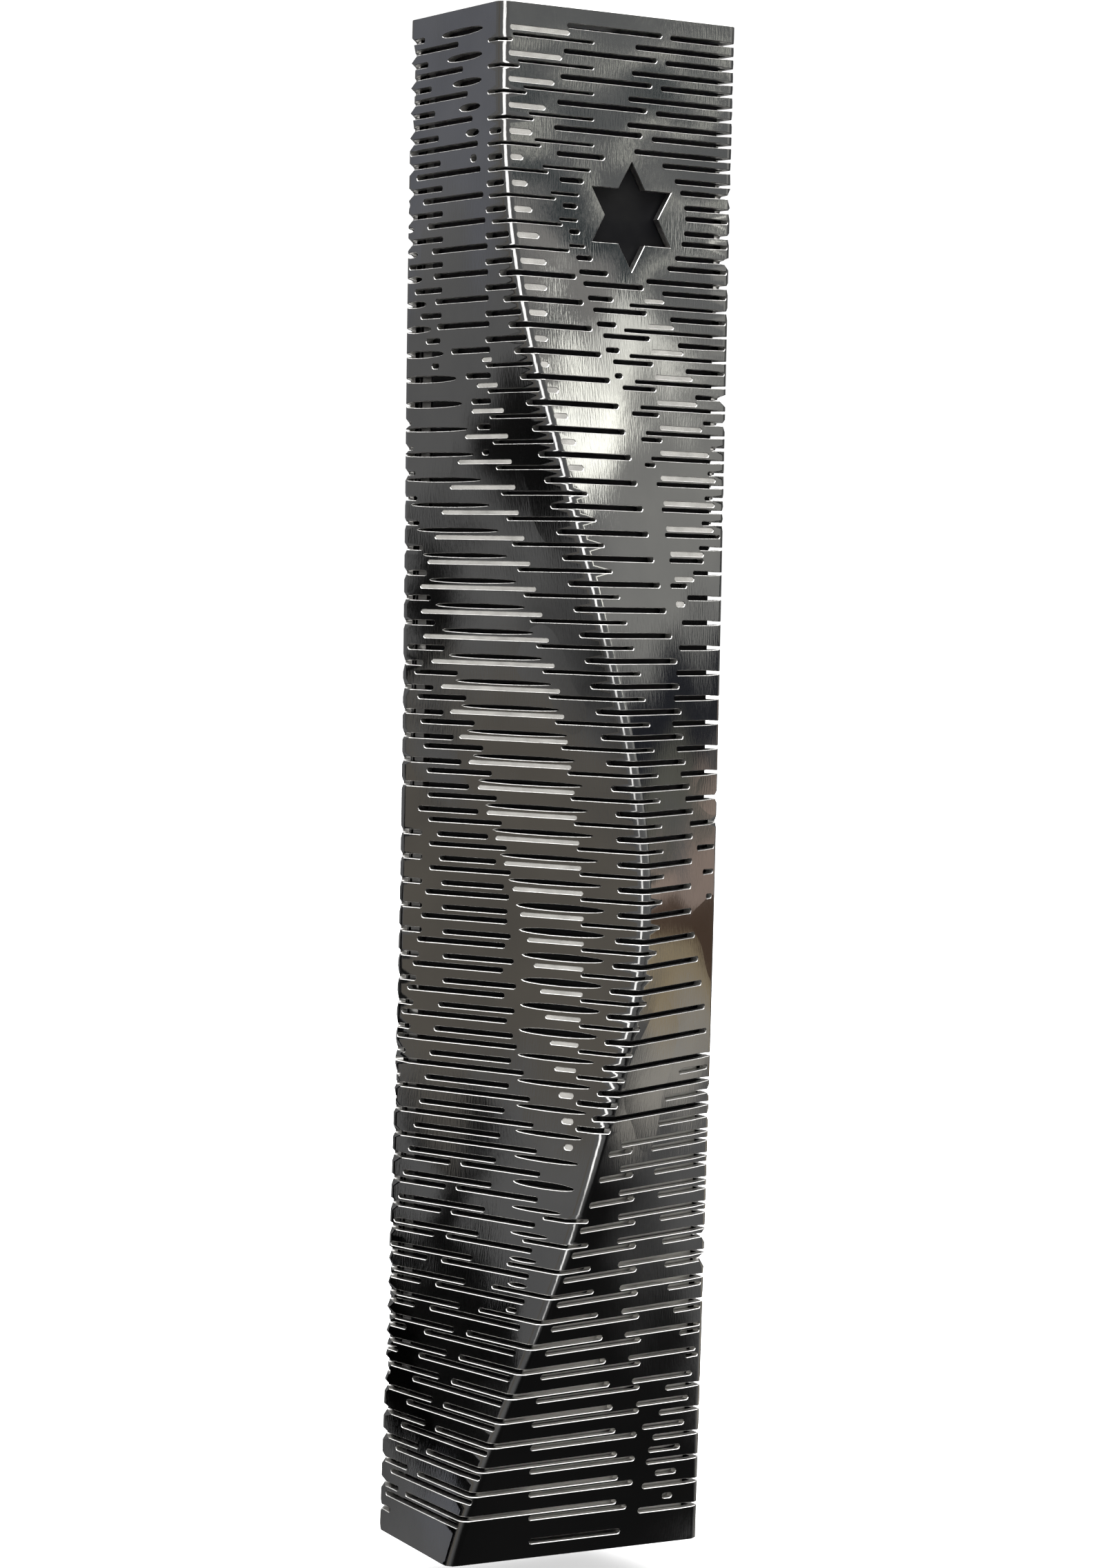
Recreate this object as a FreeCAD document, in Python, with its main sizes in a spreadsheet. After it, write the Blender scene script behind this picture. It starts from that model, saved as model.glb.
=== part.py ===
import FreeCAD, Part
import math
import os

import Sketcher

# Wall-mounted scroll case: a folded, slotted steel cover that slides up off a back plate,
# with the scroll in a capped tube held by two spring clips. +X is to the right seen from
# the front, -Y is the front, +Z is up. Every piece is drawn with the case's bottom at
# height zero and lowered by half the case's height, so the origin is the middle of the
# back plate's wall face.

os.makedirs("parts", exist_ok=True)
V = FreeCAD.Vector
V2 = FreeCAD.Base.Vector2d
doc = FreeCAD.newDocument("ScrollCase")

# ---------------------------------------------------------------- driving sizes, mm
SIZES = {
    "case_height": 150.0,
    "front_width": 27.0,
    "side_depth": 18.0,
    "sheet_thick": 0.8,
    "bend_radius": 1.0,
    "flange_width": 4.0,
    "wall_gap": 0.15,
    "row_pitch": 2.44,
    "slot_width": 0.5,
    "least_bar": 0.22,
    "liner_gap": 0.3,
    "liner_thick": 0.5,
    "plate_thick": 1.0,
    "plate_bottom": 0.4,
    "plate_top": 145.0,
    "wall_hole_radius": 2.15,
    "wall_hole_spacing": 100.0,
    "wall_hole_x": -5.4,
    "shelf_thick": 1.0,
    "cap_bottom": 148.6,
    "cap_thick": 1.0,
    "tube_x": 3.0,
    "tube_y": -9.2,
    "tube_radius": 6.0,
    "tube_bore": 5.2,
    "tube_bottom": 4.1,
    "tube_length": 122.9,
    "spigot_radius": 5.14,
    "clip_height": 10.0,
    "clip_thick": 0.6,
    "clip_low": 40.0,
    "clip_high": 100.0,
    "rivet_radius": 1.0,
    "lock_height": 10.0,
    "lock_depth": 6.0,
    "lock_radius": 1.45,
    "lock_head_radius": 2.75,
    "scroll_length": 114.0,
    "scroll_radius": 4.7,
    "scroll_core": 1.3,
    "parchment": 0.25,
}
sheet = doc.addObject("Spreadsheet::Sheet", "Sizes")
for number, (alias, value) in enumerate(SIZES.items(), start=1):
    sheet.set("A%d" % number, alias.replace("_", " "))
    sheet.set("B%d" % number, str(value))
    sheet.setAlias("B%d" % number, alias)
doc.recompute()


def size(alias):
    """One driving size, read back from the sheet."""
    return float(sheet.get(alias))


HEIGHT = size("case_height")
WIDTH = size("front_width")
DEPTH = size("side_depth")
SHEET = size("sheet_thick")
LIFT = V(0, 0, -HEIGHT / 2)

# ---------------------------------------------------------------- the cover's folded form
# Distance from the back left fold to the wandering front crease, as the control values of
# a uniform cubic spline in height: one value every 15 mm, the first one 15 mm below zero.
CREASE_STEP = 15.0
CREASE = [14.6, 16.3, 20.3, 24.5, 27.4, 29.9, 28.9, 26.2, 23.2, 19.7, 18.1, 18.0, 18.0]


def crease_reach(z):
    """Width of the left panel at height z; the front panel takes the rest of the sheet."""
    place = z / CREASE_STEP + 1
    i = min(max(int(place), 1), len(CREASE) - 3)
    f = place - i
    weights = ((1 - f) ** 3 / 6, (3 * f ** 3 - 6 * f * f + 4) / 6,
               (-3 * f ** 3 + 3 * f * f + 3 * f + 1) / 6, f ** 3 / 6)
    return sum(c * k for c, k in zip(CREASE[i - 1:i + 3], weights))


def fold_points(z):
    """Sharp corners of the cover's plan at height z, from one back flange to the other.

    The left and front panels together always use the same width of sheet, so the crease
    lies on an ellipse about the back left and front right corners.
    """
    a, gap = crease_reach(z), size("wall_gap")
    b = WIDTH + DEPTH - a
    diagonal = math.hypot(WIDTH, DEPTH)
    along = (a * a - b * b + diagonal ** 2) / (2 * diagonal)
    out = math.sqrt(a * a - along * along)
    ux, uy = WIDTH / diagonal, -DEPTH / diagonal
    crease = V(-WIDTH / 2 + ux * along + uy * out, uy * along - ux * out, z)
    half = WIDTH / 2
    return [V(-half + size("flange_width"), -gap, z), V(-half, -gap, z), crease,
            V(half, -DEPTH, z), V(half, -gap, z), V(half - size("flange_width"), -gap, z)]


def liner_points(z):
    """Corners of the liner's plan: the cover's panels, stopping short of the back folds."""
    points = fold_points(z)
    short = 3.6
    left = points[1] + (points[2] - points[1]).normalize() * short
    right = points[4] + (points[3] - points[4]).normalize() * short
    return [left, points[2], points[3], right]


def offset_path(points, distance):
    """The same path moved towards the inside of the case by distance."""
    steps = [(q - p).normalize() for p, q in zip(points, points[1:])]
    normals = [V(-s.y, s.x, 0) for s in steps]
    moved = [points[0] + normals[0] * distance]
    for i in range(1, len(points) - 1):
        mitre = (normals[i - 1] + normals[i]) * (1 / (1 + normals[i - 1].dot(normals[i])))
        moved.append(points[i] + mitre * distance)
    return moved + [points[-1] + normals[-1] * distance]


def bend_sizes(points, radius):
    """Angle turned and tangent length at each corner of a path."""
    bends = []
    for p, q, r in zip(points, points[1:], points[2:]):
        angle = (q - p).getAngle(r - q)
        bends.append((angle, radius * math.tan(angle / 2)))
    return bends


def section_poles(points, radius):
    """Cubic poles of one plan: a straight span for each panel, a round one for each bend."""
    bends = bend_sizes(points, radius)
    starts = [points[0]]
    poles = []
    for i, (p, q) in enumerate(zip(points, points[1:])):
        step = (q - p).normalize()
        end = q - step * bends[i][1] if i < len(bends) else q
        start = starts[-1]
        poles += [] if i else [start]
        poles += [start + (end - start) * (1 / 3), end - (end - start) * (1 / 3), end]
        if i < len(bends):
            angle, tangent = bends[i]
            pull = 4 / 3 * math.tan(angle / 4) / math.tan(angle / 2)
            after = q + (points[i + 2] - q).normalize() * tangent
            poles += [end + (q - end) * pull, after + (q - after) * pull, after]
            starts.append(after)
    return poles


def skin(path, distance, radius, low, high):
    """One side of a folded sheet as a single face: panels and bends in one surface."""
    count = 10
    heights = [low + (high - low) * i / count for i in range(count + 1)]
    plans = [section_poles(offset_path(path(z), distance), radius) for z in heights]
    columns = []
    for column in zip(*plans):
        curve = Part.BSplineCurve()
        curve.interpolate(list(column), Parameters=heights)
        columns.append(curve)
    spans = (len(plans[0]) - 1) // 3
    surface = Part.BSplineSurface()
    surface.buildFromPolesMultsKnots(
        [c.getPoles() for c in columns], [4] + [3] * (spans - 1) + [4],
        columns[0].getMultiplicities(), [float(i) for i in range(spans + 1)],
        columns[0].getKnots(), False, False, 3, 3)
    return surface.toShape()


def sheet_place(path, radius, girth, z):
    """Surface parameter of the point a given girth from the back left fold at height z."""
    points = path(z)
    bends = [0.0] + [tangent for _, tangent in bend_sizes(points, radius)] + [0.0]
    passed = -(points[1] - points[0]).Length
    for i, (p, q) in enumerate(zip(points, points[1:])):
        length = (q - p).Length
        if girth <= passed + length - bends[i + 1] or i == len(points) - 2:
            flat = length - bends[i] - bends[i + 1]
            return 2 * i + (girth - passed - bends[i]) / flat
        if girth < passed + length + bends[i + 1]:
            into = girth - (passed + length - bends[i + 1])
            return 2 * i + 1 + into / (2 * bends[i + 1])
        passed += length
    return 0.0


def outline_wire(face, path, radius, outline):
    """A closed hole outline of (girth, height) corners drawn on one side of the sheet."""
    spots = [(sheet_place(path, radius, girth, z), z) for girth, z in outline]
    edges = []
    for here, there in zip(spots, spots[1:] + spots[:1]):
        one_panel = int(here[0]) == int(there[0]) and int(here[0]) % 2 == 0
        if one_panel:
            edges.append(Part.makeLine(face.Surface.value(*here), face.Surface.value(*there)))
        else:
            line = Part.Geom2d.Line2dSegment(V2(*here), V2(*there))
            edges.append(line.toShape(face))
    return Part.Wire(edges)


def folded_sheet(path, distance, thick, radius, low, high, outlines):
    """Solid folded sheet with through holes, sewn from its two sides, rims and hole walls."""
    outside = skin(path, distance, radius, low, high)
    inside = skin(path, distance + thick, radius - thick, low, high)
    faces = []
    for outer, inner in zip(sorted_edges(outside), sorted_edges(inside)):
        faces.append(Part.makeRuledSurface(outer, inner))
    wires = []
    for side in (outside, inside):
        holes = [outline_wire(side, path, radius, outline) for outline in outlines]
        pierced = side.copy()
        if holes:
            pierced.cutHoles(holes)
            pierced.validate()
        faces.append(pierced)
        wires.append(holes)
    for outer, inner in zip(*wires):
        for a, b in zip(outer.Edges, inner.Edges):
            faces.append(Part.makeRuledSurface(a, b))
    shell = Part.Compound(faces)
    shell.sewShape(1e-4)
    solid = Part.Solid(shell.Shells[0])
    if solid.Volume < 0:
        solid.reverse()
    return solid


def sorted_edges(face):
    """A side's four border edges in an order that is the same for both sides."""
    def place(edge):
        middle = edge.valueAt((edge.FirstParameter + edge.LastParameter) / 2)
        return (round(middle.z, 1), round(middle.x))
    return sorted(face.Edges, key=place)


# ---------------------------------------------------------------- the slot pattern
def ramp(points, z):
    """Straight-line reading of (height, value) points given from the bottom up."""
    if z <= points[0][0]:
        return points[0][1]
    for (z0, v0), (z1, v1) in zip(points, points[1:]):
        if z <= z1:
            return v0 + (v1 - v0) * (z - z0) / (z1 - z0)
    return points[-1][1]


# One entry for each run of slots up the sheet: how far its rows stand below the main rows,
# in row pitches, as (height, shift) points, then its (height, start, end) points, with start
# and end as girths from the back left fold. The front right fold is at girth 45.
SLOT_RUNS = {
    "upper left": ([(0, -0.1)], [
        (107, 12.1, 12.8), (110, 11.5, 13.4), (115, 10.2, 14.0), (119.8, 5.9, 14.4),
        (127, 5.2, 14.9), (132, 3.5, 14.5), (136.8, 0.9, 13.7), (138, -1, 13.2),
        (148, -1, 9.3)]),
    "left lens": ([(25, -0.2), (60, -0.15), (80, 0.0), (132, -0.05)], [
        (24.5, 17.8, 19.0), (32, 17.0, 21.5), (37, 16.6, 24.0), (42, 16.3, 24.2),
        (49.5, 15.8, 24.6), (59, 15.6, 24.7), (64, 14.7, 24.6), (69, 12.6, 23.8),
        (76, 10.2, 22.2), (85.5, 7.6, 19.1), (95, 4.4, 15.6), (105, 0.9, 11.6),
        (108, -1, 10.6), (115, -1, 8.6), (119.5, -1, 4.9), (132.5, -1, 0.8)]),
    "upper crossing": ([(0, 0.0)], [
        (43, 25.0, 48.0), (48.8, 25.6, 48.0), (50, 25.6, 43.9), (54, 25.5, 43.0),
        (59, 25.8, 41.0), (64, 26.1, 39.0), (73.5, 25.9, 39.5), (78.5, 25.0, 38.0),
        (88, 23.3, 37.2), (98, 21.5, 34.2), (112, 18.9, 30.8), (122, 17.0, 27.0),
        (132, 15.5, 24.0), (148, 15.5, 18.6)]),
    "lower crossing": ([(0, 0.05)], [
        (3, 4.5, 34.9), (7.5, 8.0, 34.9), (12.2, 10.0, 34.1), (17, 11.5, 32.8),
        (22, 12.8, 31.1), (26.6, 15.3, 29.1), (31.5, 18.5, 27.2), (35, 21.6, 26.4)]),
    "lower right": ([(0, 0.05), (40, 0.1)], [
        (4.5, 40.4, 41.4), (10, 38.2, 42.2), (14.7, 36.4, 43.0), (21.6, 34.2, 44.0),
        (24, 33.4, 47.6), (31, 31.5, 48.0), (42, 29.8, 48.2)]),
    "middle crossing": ([(38, 0.45), (125, 0.52)], [
        (41.5, 23.5, 27.4), (47.6, 22.8, 28.7), (57.7, 22.3, 31.5), (67.4, 21.8, 33.1),
        (77, 20.6, 32.7), (86.7, 18.2, 31.0), (96.4, 15.8, 28.1), (106, 13.8, 25.0),
        (111, 13.4, 23.6), (116, 13.4, 21.8), (125.4, 14.4, 22.3), (130.4, 14.9, 20.8),
        (135.3, 15.5, 19.8), (138, 15.9, 20.9), (140, 17.4, 22.2), (142, 18.6, 23.0),
        (148, 18.9, 25.0)]),
    "lower front": ([(0, 0.3), (40, 0.42)], [
        (1, 25.4, 35.4), (6.6, 24.7, 36.7), (13.8, 23.9, 36.8), (20.6, 24.0, 36.4),
        (28, 24.5, 34.8), (34, 25.8, 33.6), (41.4, 28.4, 31.6)]),
    "left band": ([(38, 0.22), (120, 0.28)], [
        (38, 23.0, 23.6), (46, 20.9, 22.6), (56, 17.7, 22.6), (65, 14.4, 22.2),
        (75, 10.2, 21.3), (84.4, 6.0, 20.2), (89.3, 3.6, 19.2), (94.2, 3.0, 18.0),
        (101.5, 5.9, 16.4), (111, 10.6, 15.6), (117, 13.1, 14.2)]),
    "left edge": ([(40, 0.55), (60, 0.55), (72, 0.65), (90, 0.72)], [
        (39.5, -1, 19.2), (45.3, -1, 17.5), (50, 0.9, 15.5), (52.7, 1.8, 14.0),
        (57.3, 2.9, 13.4), (67, 4.6, 14.0), (76.4, 4.1, 11.8), (86, 2.5, 7.9),
        (90, 1.0, 5.2), (91, -1, 5.0), (100, -1, 3.0), (111, -1, 1.6)]),
    "lower left inner": ([(0, 0.35), (40, 0.42)], [
        (3, 1.4, 16.4), (6.8, 2.7, 18.4), (11.6, 4.1, 19.1), (18.7, 6.1, 20.0),
        (28.2, 8.2, 20.0), (38.6, 9.9, 19.7)]),
    "lower left edge": ([(0, 0.35), (40, 0.45)], [
        (15, -1, 1.2), (23.3, -1, 4.9), (28, -1, 6.2), (33, -1, 7.7), (38.6, -1, 8.6)]),
    "left ticks": ([(15, 0.0), (30, 0.12), (50, 0.12), (70, 0.22), (87, 0.35)], [
        (2, -1, 2.6), (7, -1, 5.6), (10, -1, 7.6), (21.7, -1, 10.9), (27, -1, 11.8), (29, 0.9, 12.3),
        (36.4, 2.5, 13.9), (46.5, 4.9, 15.0), (56, 6.5, 15.0), (65.5, 6.0, 13.2),
        (70.3, 5.4, 11.3), (72, 4.9, 10.5), (74, -1, 9.5), (80, -1, 7.2), (88, -1, 3.0)]),
    "edge nicks": ([(43, 0.12), (70, 0.22)], [
        (43.5, -1, 1.2), (50.9, -1, 2.8), (60.4, -1, 3.8), (71, -1, 3.6)]),
    "top edge nicks": ([(0, -0.55)], [
        (115, 5.3, 5.9), (120.7, 3.2, 6.6), (125.6, 1.2, 7.0), (127.5, -1, 7.1),
        (133, -1, 7.1), (138, -1, 6.3), (148, -1, 3.2)]),
    "top lens": ([(0, -0.55)], [
        (135, 12.5, 13.3), (138, 11.5, 13.9), (143, 8.9, 14.3), (148.2, 6.5, 14.4)]),
    "top front": ([(0, -0.21)], [
        (115, 30.5, 31.4), (120.4, 28.4, 30.8), (125.3, 26.5, 30.2), (130, 24.4, 28.6),
        (137.3, 21.7, 28.4), (148, 18.9, 28.2)]),
    "front middle": ([(0, 0.24)], [
        (106, 33.8, 34.8), (109.2, 33.4, 36.1), (116.5, 30.3, 35.2), (123.8, 27.1, 34.2),
        (131, 24.9, 34.0), (138.4, 23.9, 33.9), (148.4, 25.2, 36.0)]),
    "top right": ([(95, 0.0), (130, -0.05), (147, -0.22)], [
        (94.5, 36.6, 38.4), (98, 36.6, 42.1), (100, 36.1, 44.0), (101.5, 36.0, 47.4),
        (110, 34.0, 48.0), (120, 31.7, 48.0), (125, 33.6, 47.0), (133, 34.4, 47.4),
        (140, 32.0, 48.4), (148, 33.1, 48.0)]),
    "right edge": ([(65, 0.52), (90, 0.47), (110, 0.47), (148, 0.28)], [
        (64, 42.8, 43.8), (68, 41.4, 44.2), (71.5, 39.0, 44.2), (72.5, 38.6, 47.0),
        (77, 37.1, 47.8), (82, 35.9, 48.2), (91.5, 38.2, 48.2), (98.8, 41.0, 47.6),
        (108.6, 42.6, 47.0), (113.6, 40.5, 46.9), (116, 39.3, 44.4), (125.9, 35.5, 44.4),
        (131, 35.8, 44.4), (133, 36.9, 47.2), (138.4, 35.0, 48.0), (149, 37.1, 47.6)]),
    "right band": ([(0, -0.27)], [
        (93, 37.4, 38.5), (95.8, 37.3, 40.2), (100.6, 36.3, 43.1), (105.6, 35.8, 43.3),
        (110.6, 35.9, 41.3), (115.4, 35.4, 40.1), (123.5, 34.2, 36.2)]),
    "lower right band": ([(15, 0.3), (45, 0.5)], [
        (18.2, 42.6, 44.0), (21, 41.5, 44.2), (26, 39.4, 44.2), (29, 38.6, 47.0),
        (35.6, 36.8, 47.6), (40.2, 35.0, 47.8), (45.1, 36.5, 47.0), (47.6, 38.7, 44.0)]),
    "foot right": ([(0, 0.55)], [
        (1, 37.2, 47.6), (8.5, 38.2, 48.0), (13.3, 39.4, 47.6), (16.5, 40.2, 47.0)]),
    "right side front": ([(0, 0.0)], [
        (17, 50.4, 56.4), (45, 52.2, 58.6), (75, 50.2, 57.0), (110, 52.0, 59.6),
        (148, 50.6, 57.4)]),
    "right side back": ([(0, 0.5)], [
        (17, 53.0, 61.0), (45, 50.6, 60.6), (80, 53.4, 61.2), (115, 50.4, 58.4),
        (148, 52.4, 61.2)]),
}
# The pierced star stands among the slots, which stop short of it.
STAR_GIRTH, STAR_HEIGHT, STAR_REACH = 32.8, 130.6, 5.3
FIRST_ROW = 146.4
SHORTEST = 0.7
ETCHED_RUNS = ("left band", "right band")
ETCHED_FROM = 105.0


def star_outline():
    """Corners of the six-pointed star window, in (girth, height)."""
    corners = []
    for i in range(12):
        reach = STAR_REACH if i % 2 == 0 else STAR_REACH / math.sqrt(3)
        turn = math.radians(90 - 30 * i)
        corners.append((STAR_GIRTH + reach * math.cos(turn),
                        STAR_HEIGHT + reach * math.sin(turn)))
    return corners


def clear_of_star(start, end, z):
    """The parts of a slot that stay clear of the star window."""
    room = STAR_REACH + 1.0
    rise = abs(z - STAR_HEIGHT)
    if rise >= room:
        return [(start, end)]
    half = math.sqrt(room * room - rise * rise)
    sides = [(start, min(end, STAR_GIRTH - half)), (max(start, STAR_GIRTH + half), end)]
    return [(a, b) for a, b in sides if b - a > SHORTEST]


def slot_list():
    """Every pierced slot as (start, end, height), run by run.

    The etched bands are marks on the surface only, and above ETCHED_FROM so is the part of
    the middle crossing run that lies to the right of the crease.
    """
    pitch, slots = size("row_pitch"), []
    for name, (shifts, run) in SLOT_RUNS.items():
        if name in ETCHED_RUNS:
            continue
        starts = [(z, start) for z, start, _ in run]
        ends = [(z, end) for z, _, end in run]
        for row in range(-1, 61):
            level = FIRST_ROW - pitch * row
            z = level - pitch * ramp(shifts, level)
            if not run[0][0] - 0.3 <= z <= run[-1][0] + 0.3 or not 1.2 < z < HEIGHT - 1.5:
                continue
            start, end = ramp(starts, z), ramp(ends, z)
            if name == "middle crossing" and z > ETCHED_FROM:
                end = min(end, crease_reach(z) - 0.3)
            for a, b in clear_of_star(start, end, z):
                if b - a > SHORTEST:
                    slots.append((a, b, z))
    return slots


def half_width(slot, slots):
    """Half a slot's width, less where the next slot above or below it is too near."""
    start, end, z = slot
    half = size("slot_width") / 2
    for a, b, other in slots:
        if other != z and a < end + 0.3 and b > start - 0.3:
            half = min(half, (abs(other - z) - size("least_bar")) / 2)
    return half


def slot_outlines():
    """Corners of every slot and of the star on the flat sheet, in (girth, height)."""
    outlines, slots = [star_outline()], slot_list()
    for slot in slots:
        start, end, z = slot
        half = half_width(slot, slots)
        outlines.append([(start, z + half), (end, z + half), (end, z - half), (start, z - half)])
    return outlines


# ---------------------------------------------------------------- small drawing helpers
made = {}


def keep(name, label, shape):
    """Add a finished shape as a named, placed feature."""
    feature = doc.addObject("Part::Feature", name)
    feature.Label = label
    feature.Shape = shape
    feature.Placement = FreeCAD.Placement(LIFT, FreeCAD.Rotation())
    made[name] = feature
    return feature


def new_body(name, label):
    """A PartDesign body lowered so that the origin is the case's middle height."""
    body = doc.addObject("PartDesign::Body", name)
    body.Label = label
    body.Placement = FreeCAD.Placement(LIFT, FreeCAD.Rotation())
    made[name] = body
    return body


def new_sketch(body, role, name, shift=0.0):
    """A sketch on one of the body's own origin planes, moved along the plane's normal."""
    sketch = body.newObject("Sketcher::SketchObject", name)
    plane = [f for f in body.Origin.OriginFeatures if f.Role == role][0]
    sketch.AttachmentSupport = [(plane, "")]
    sketch.MapMode = "FlatFace"
    sketch.AttachmentOffset = FreeCAD.Placement(V(0, 0, shift), FreeCAD.Rotation())
    return sketch


def draw_polygon(sketch, corners):
    """Closed polygon from (x, y) corners, with its ends tied together."""
    count = len(corners)
    first = len(sketch.Geometry)
    for (x0, y0), (x1, y1) in zip(corners, corners[1:] + corners[:1]):
        sketch.addGeometry(Part.LineSegment(V(x0, y0, 0), V(x1, y1, 0)), False)
    for i in range(count):
        sketch.addConstraint(Sketcher.Constraint("Coincident", first + i, 2,
                                                 first + (i + 1) % count, 1))


def draw_circle(sketch, x, y, alias):
    """Circle whose radius follows a size in the sheet."""
    number = sketch.addGeometry(Part.Circle(V(x, y, 0), V(0, 0, 1), size(alias)), False)
    rule = sketch.addConstraint(Sketcher.Constraint("Radius", number, size(alias)))
    sketch.setExpression("Constraints[%d]" % rule, "Sizes." + alias)


def pad(body, sketch, name, length):
    """Pad a sketch by a length given as a number or as an expression."""
    feature = body.newObject("PartDesign::Pad", name)
    feature.Profile = sketch
    if isinstance(length, str):
        feature.setExpression("Length", length)
    else:
        feature.Length = length
    doc.recompute()
    return feature


def pocket(body, sketch, name):
    """Cut a sketch right through both ways."""
    feature = body.newObject("PartDesign::Pocket", name)
    feature.Profile = sketch
    feature.Type = "ThroughAll"
    feature.Midplane = True
    doc.recompute()
    return feature


def rod(radius, start, axis, length):
    """Plain cylinder."""
    return Part.makeCylinder(radius, length, start, axis)


# ---------------------------------------------------------------- cover, liner and cap
def build_cover():
    """Slotted cover with a notch for the lock screw, open downwards in the right side."""
    shell = folded_sheet(fold_points, 0.0, SHEET, size("bend_radius"), 0.0, HEIGHT,
                         slot_outlines())
    half, y, z = 1.8, -size("lock_depth"), size("lock_height")
    notch = rod(half, V(WIDTH / 2 - 2, y, z), V(1, 0, 0), 4)
    notch = notch.fuse(Part.makeBox(4, 2 * half, z + 2, V(WIDTH / 2 - 2, y - half, -2)))
    keep("cover", "Folded slotted cover", shell.cut(notch.removeSplitter()))


def build_liner():
    """Black inner sheet that follows the cover, cut away around the lock screw's lug."""
    bottom, top = 1.8, size("cap_bottom") - 0.3
    shell = folded_sheet(liner_points, SHEET + size("liner_gap"), size("liner_thick"),
                         0.9, bottom, top, [])
    clear = Part.makeBox(6, 12, 20, V(WIDTH / 2 - 5, -12.5, -2))
    keep("liner", "Black liner behind the slots", shell.cut(clear))


def build_top_cap():
    """Flat lid tacked inside the top of the cover."""
    z = size("cap_bottom")
    corners = offset_path(fold_points(z), SHEET + 0.1)[1:5]
    outline = [V(p.x, p.y, z) for p in corners]
    face = Part.Face(Part.makePolygon(outline + outline[:1]))
    keep("top_cap", "Top lid of the cover", face.extrude(V(0, 0, size("cap_thick"))))


# ---------------------------------------------------------------- back plate and its fixings
def build_back_plate():
    """Joggled plate whose edges hook over the cover's back flanges, with shelf and lug."""
    thick = size("plate_thick")
    hook = size("wall_gap") + SHEET + 0.2
    body = new_body("back_plate", "Back plate")
    profile = new_sketch(body, "XY_Plane", "PlateSection", size("plate_bottom"))
    # The left edge stops short of the left panel, which leans in where the crease is far out.
    rear = [(-11.6, -hook), (-9.3, -hook), (-8.6, 0), (8.6, 0), (9.3, -hook), (12.2, -hook)]
    front = [(12.2, -hook - thick), (8.9, -hook - thick), (8.2, -thick),
             (-8.2, -thick), (-8.9, -hook - thick), (-11.2, -hook - thick)]
    draw_polygon(profile, rear + front)
    pad(body, profile, "PlatePad", "Sizes.plate_top - Sizes.plate_bottom")

    low, high = (offset_path(fold_points(z), SHEET + 0.5) for z in (0.0, 3.0))
    shelf = new_sketch(body, "XY_Plane", "ShelfOutline", size("plate_bottom"))
    back = -hook - thick / 2
    draw_polygon(shelf, [(-8.4, -thick / 2), (-8.6, back), (-12.0, back),
                         (high[2].x, low[2].y), (high[3].x, low[3].y),
                         (12.0, back), (8.6, back), (8.4, -thick / 2)])
    pad(body, shelf, "ShelfPad", "Sizes.shelf_thick")

    lug = new_sketch(body, "XY_Plane", "LugSection", 4.0)
    draw_polygon(lug, [(10.6, back), (10.6, -10.0), (11.6, -10.0), (11.6, back)])
    pad(body, lug, "LugPad", 12.0)

    holes = new_sketch(body, "XZ_Plane", "WallHoles")
    for side in (-1, 1):
        z = HEIGHT / 2 + side * size("wall_hole_spacing") / 2
        draw_circle(holes, size("wall_hole_x"), z, "wall_hole_radius")
    for z in ("clip_low", "clip_high"):
        draw_circle(holes, size("tube_x"), size(z), "rivet_radius")
    pocket(body, holes, "WallHolePocket")

    side_hole = new_sketch(body, "YZ_Plane", "LugHole")
    side_hole.addGeometry(Part.Circle(V(-size("lock_depth"), size("lock_height"), 0),
                                      V(0, 0, 1), 2.0), False)
    pocket(body, side_hole, "LugHolePocket")


def build_clips():
    """Two open spring rings on blocks, each with a recess for its rivet's head."""
    x, y, reach = size("tube_x"), size("tube_y"), size("tube_radius")
    thick, tall = size("clip_thick"), size("clip_height")
    bore = reach + 0.06
    for name, alias in (("tube_clip_lower", "clip_low"), ("tube_clip_upper", "clip_high")):
        middle = size(alias)
        low = middle - tall / 2
        ring = rod(bore + thick, V(x, y, low), V(0, 0, 1), tall)
        block = Part.makeBox(7, 3.0, tall, V(x - 3.5, -4.0, low))
        block.translate(V(0, -size("plate_thick") + 1.0, 0))
        solid = ring.fuse(block).cut(rod(bore, V(x, y, low - 1), V(0, 0, 1), tall + 2))
        mouth = Part.makeBox(9.6, 8, tall + 2, V(x - 4.8, y - 10.5, low - 1))
        solid = solid.cut(mouth)
        solid = solid.cut(rod(size("rivet_radius") + 0.02, V(x, 0, middle), V(0, -1, 0), 4))
        solid = solid.cut(rod(1.9, V(x, -2.45, middle), V(0, -1, 0), 2))
        label = "Lower tube clip" if "lower" in name else "Upper tube clip"
        keep(name, label, solid.removeSplitter())


def build_rivets():
    """The two identical clip rivets."""
    both = []
    for alias in ("clip_low", "clip_high"):
        start = V(size("tube_x"), 0, size(alias))
        shank = rod(size("rivet_radius") - 0.02, start, V(0, -1, 0), 2.5)
        head = rod(1.8, start + V(0, -2.46, 0), V(0, -1, 0), 0.5)
        both.append(shank.fuse(head).removeSplitter())
    keep("clip_rivets", "Clip rivets", Part.Compound(both))


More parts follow.
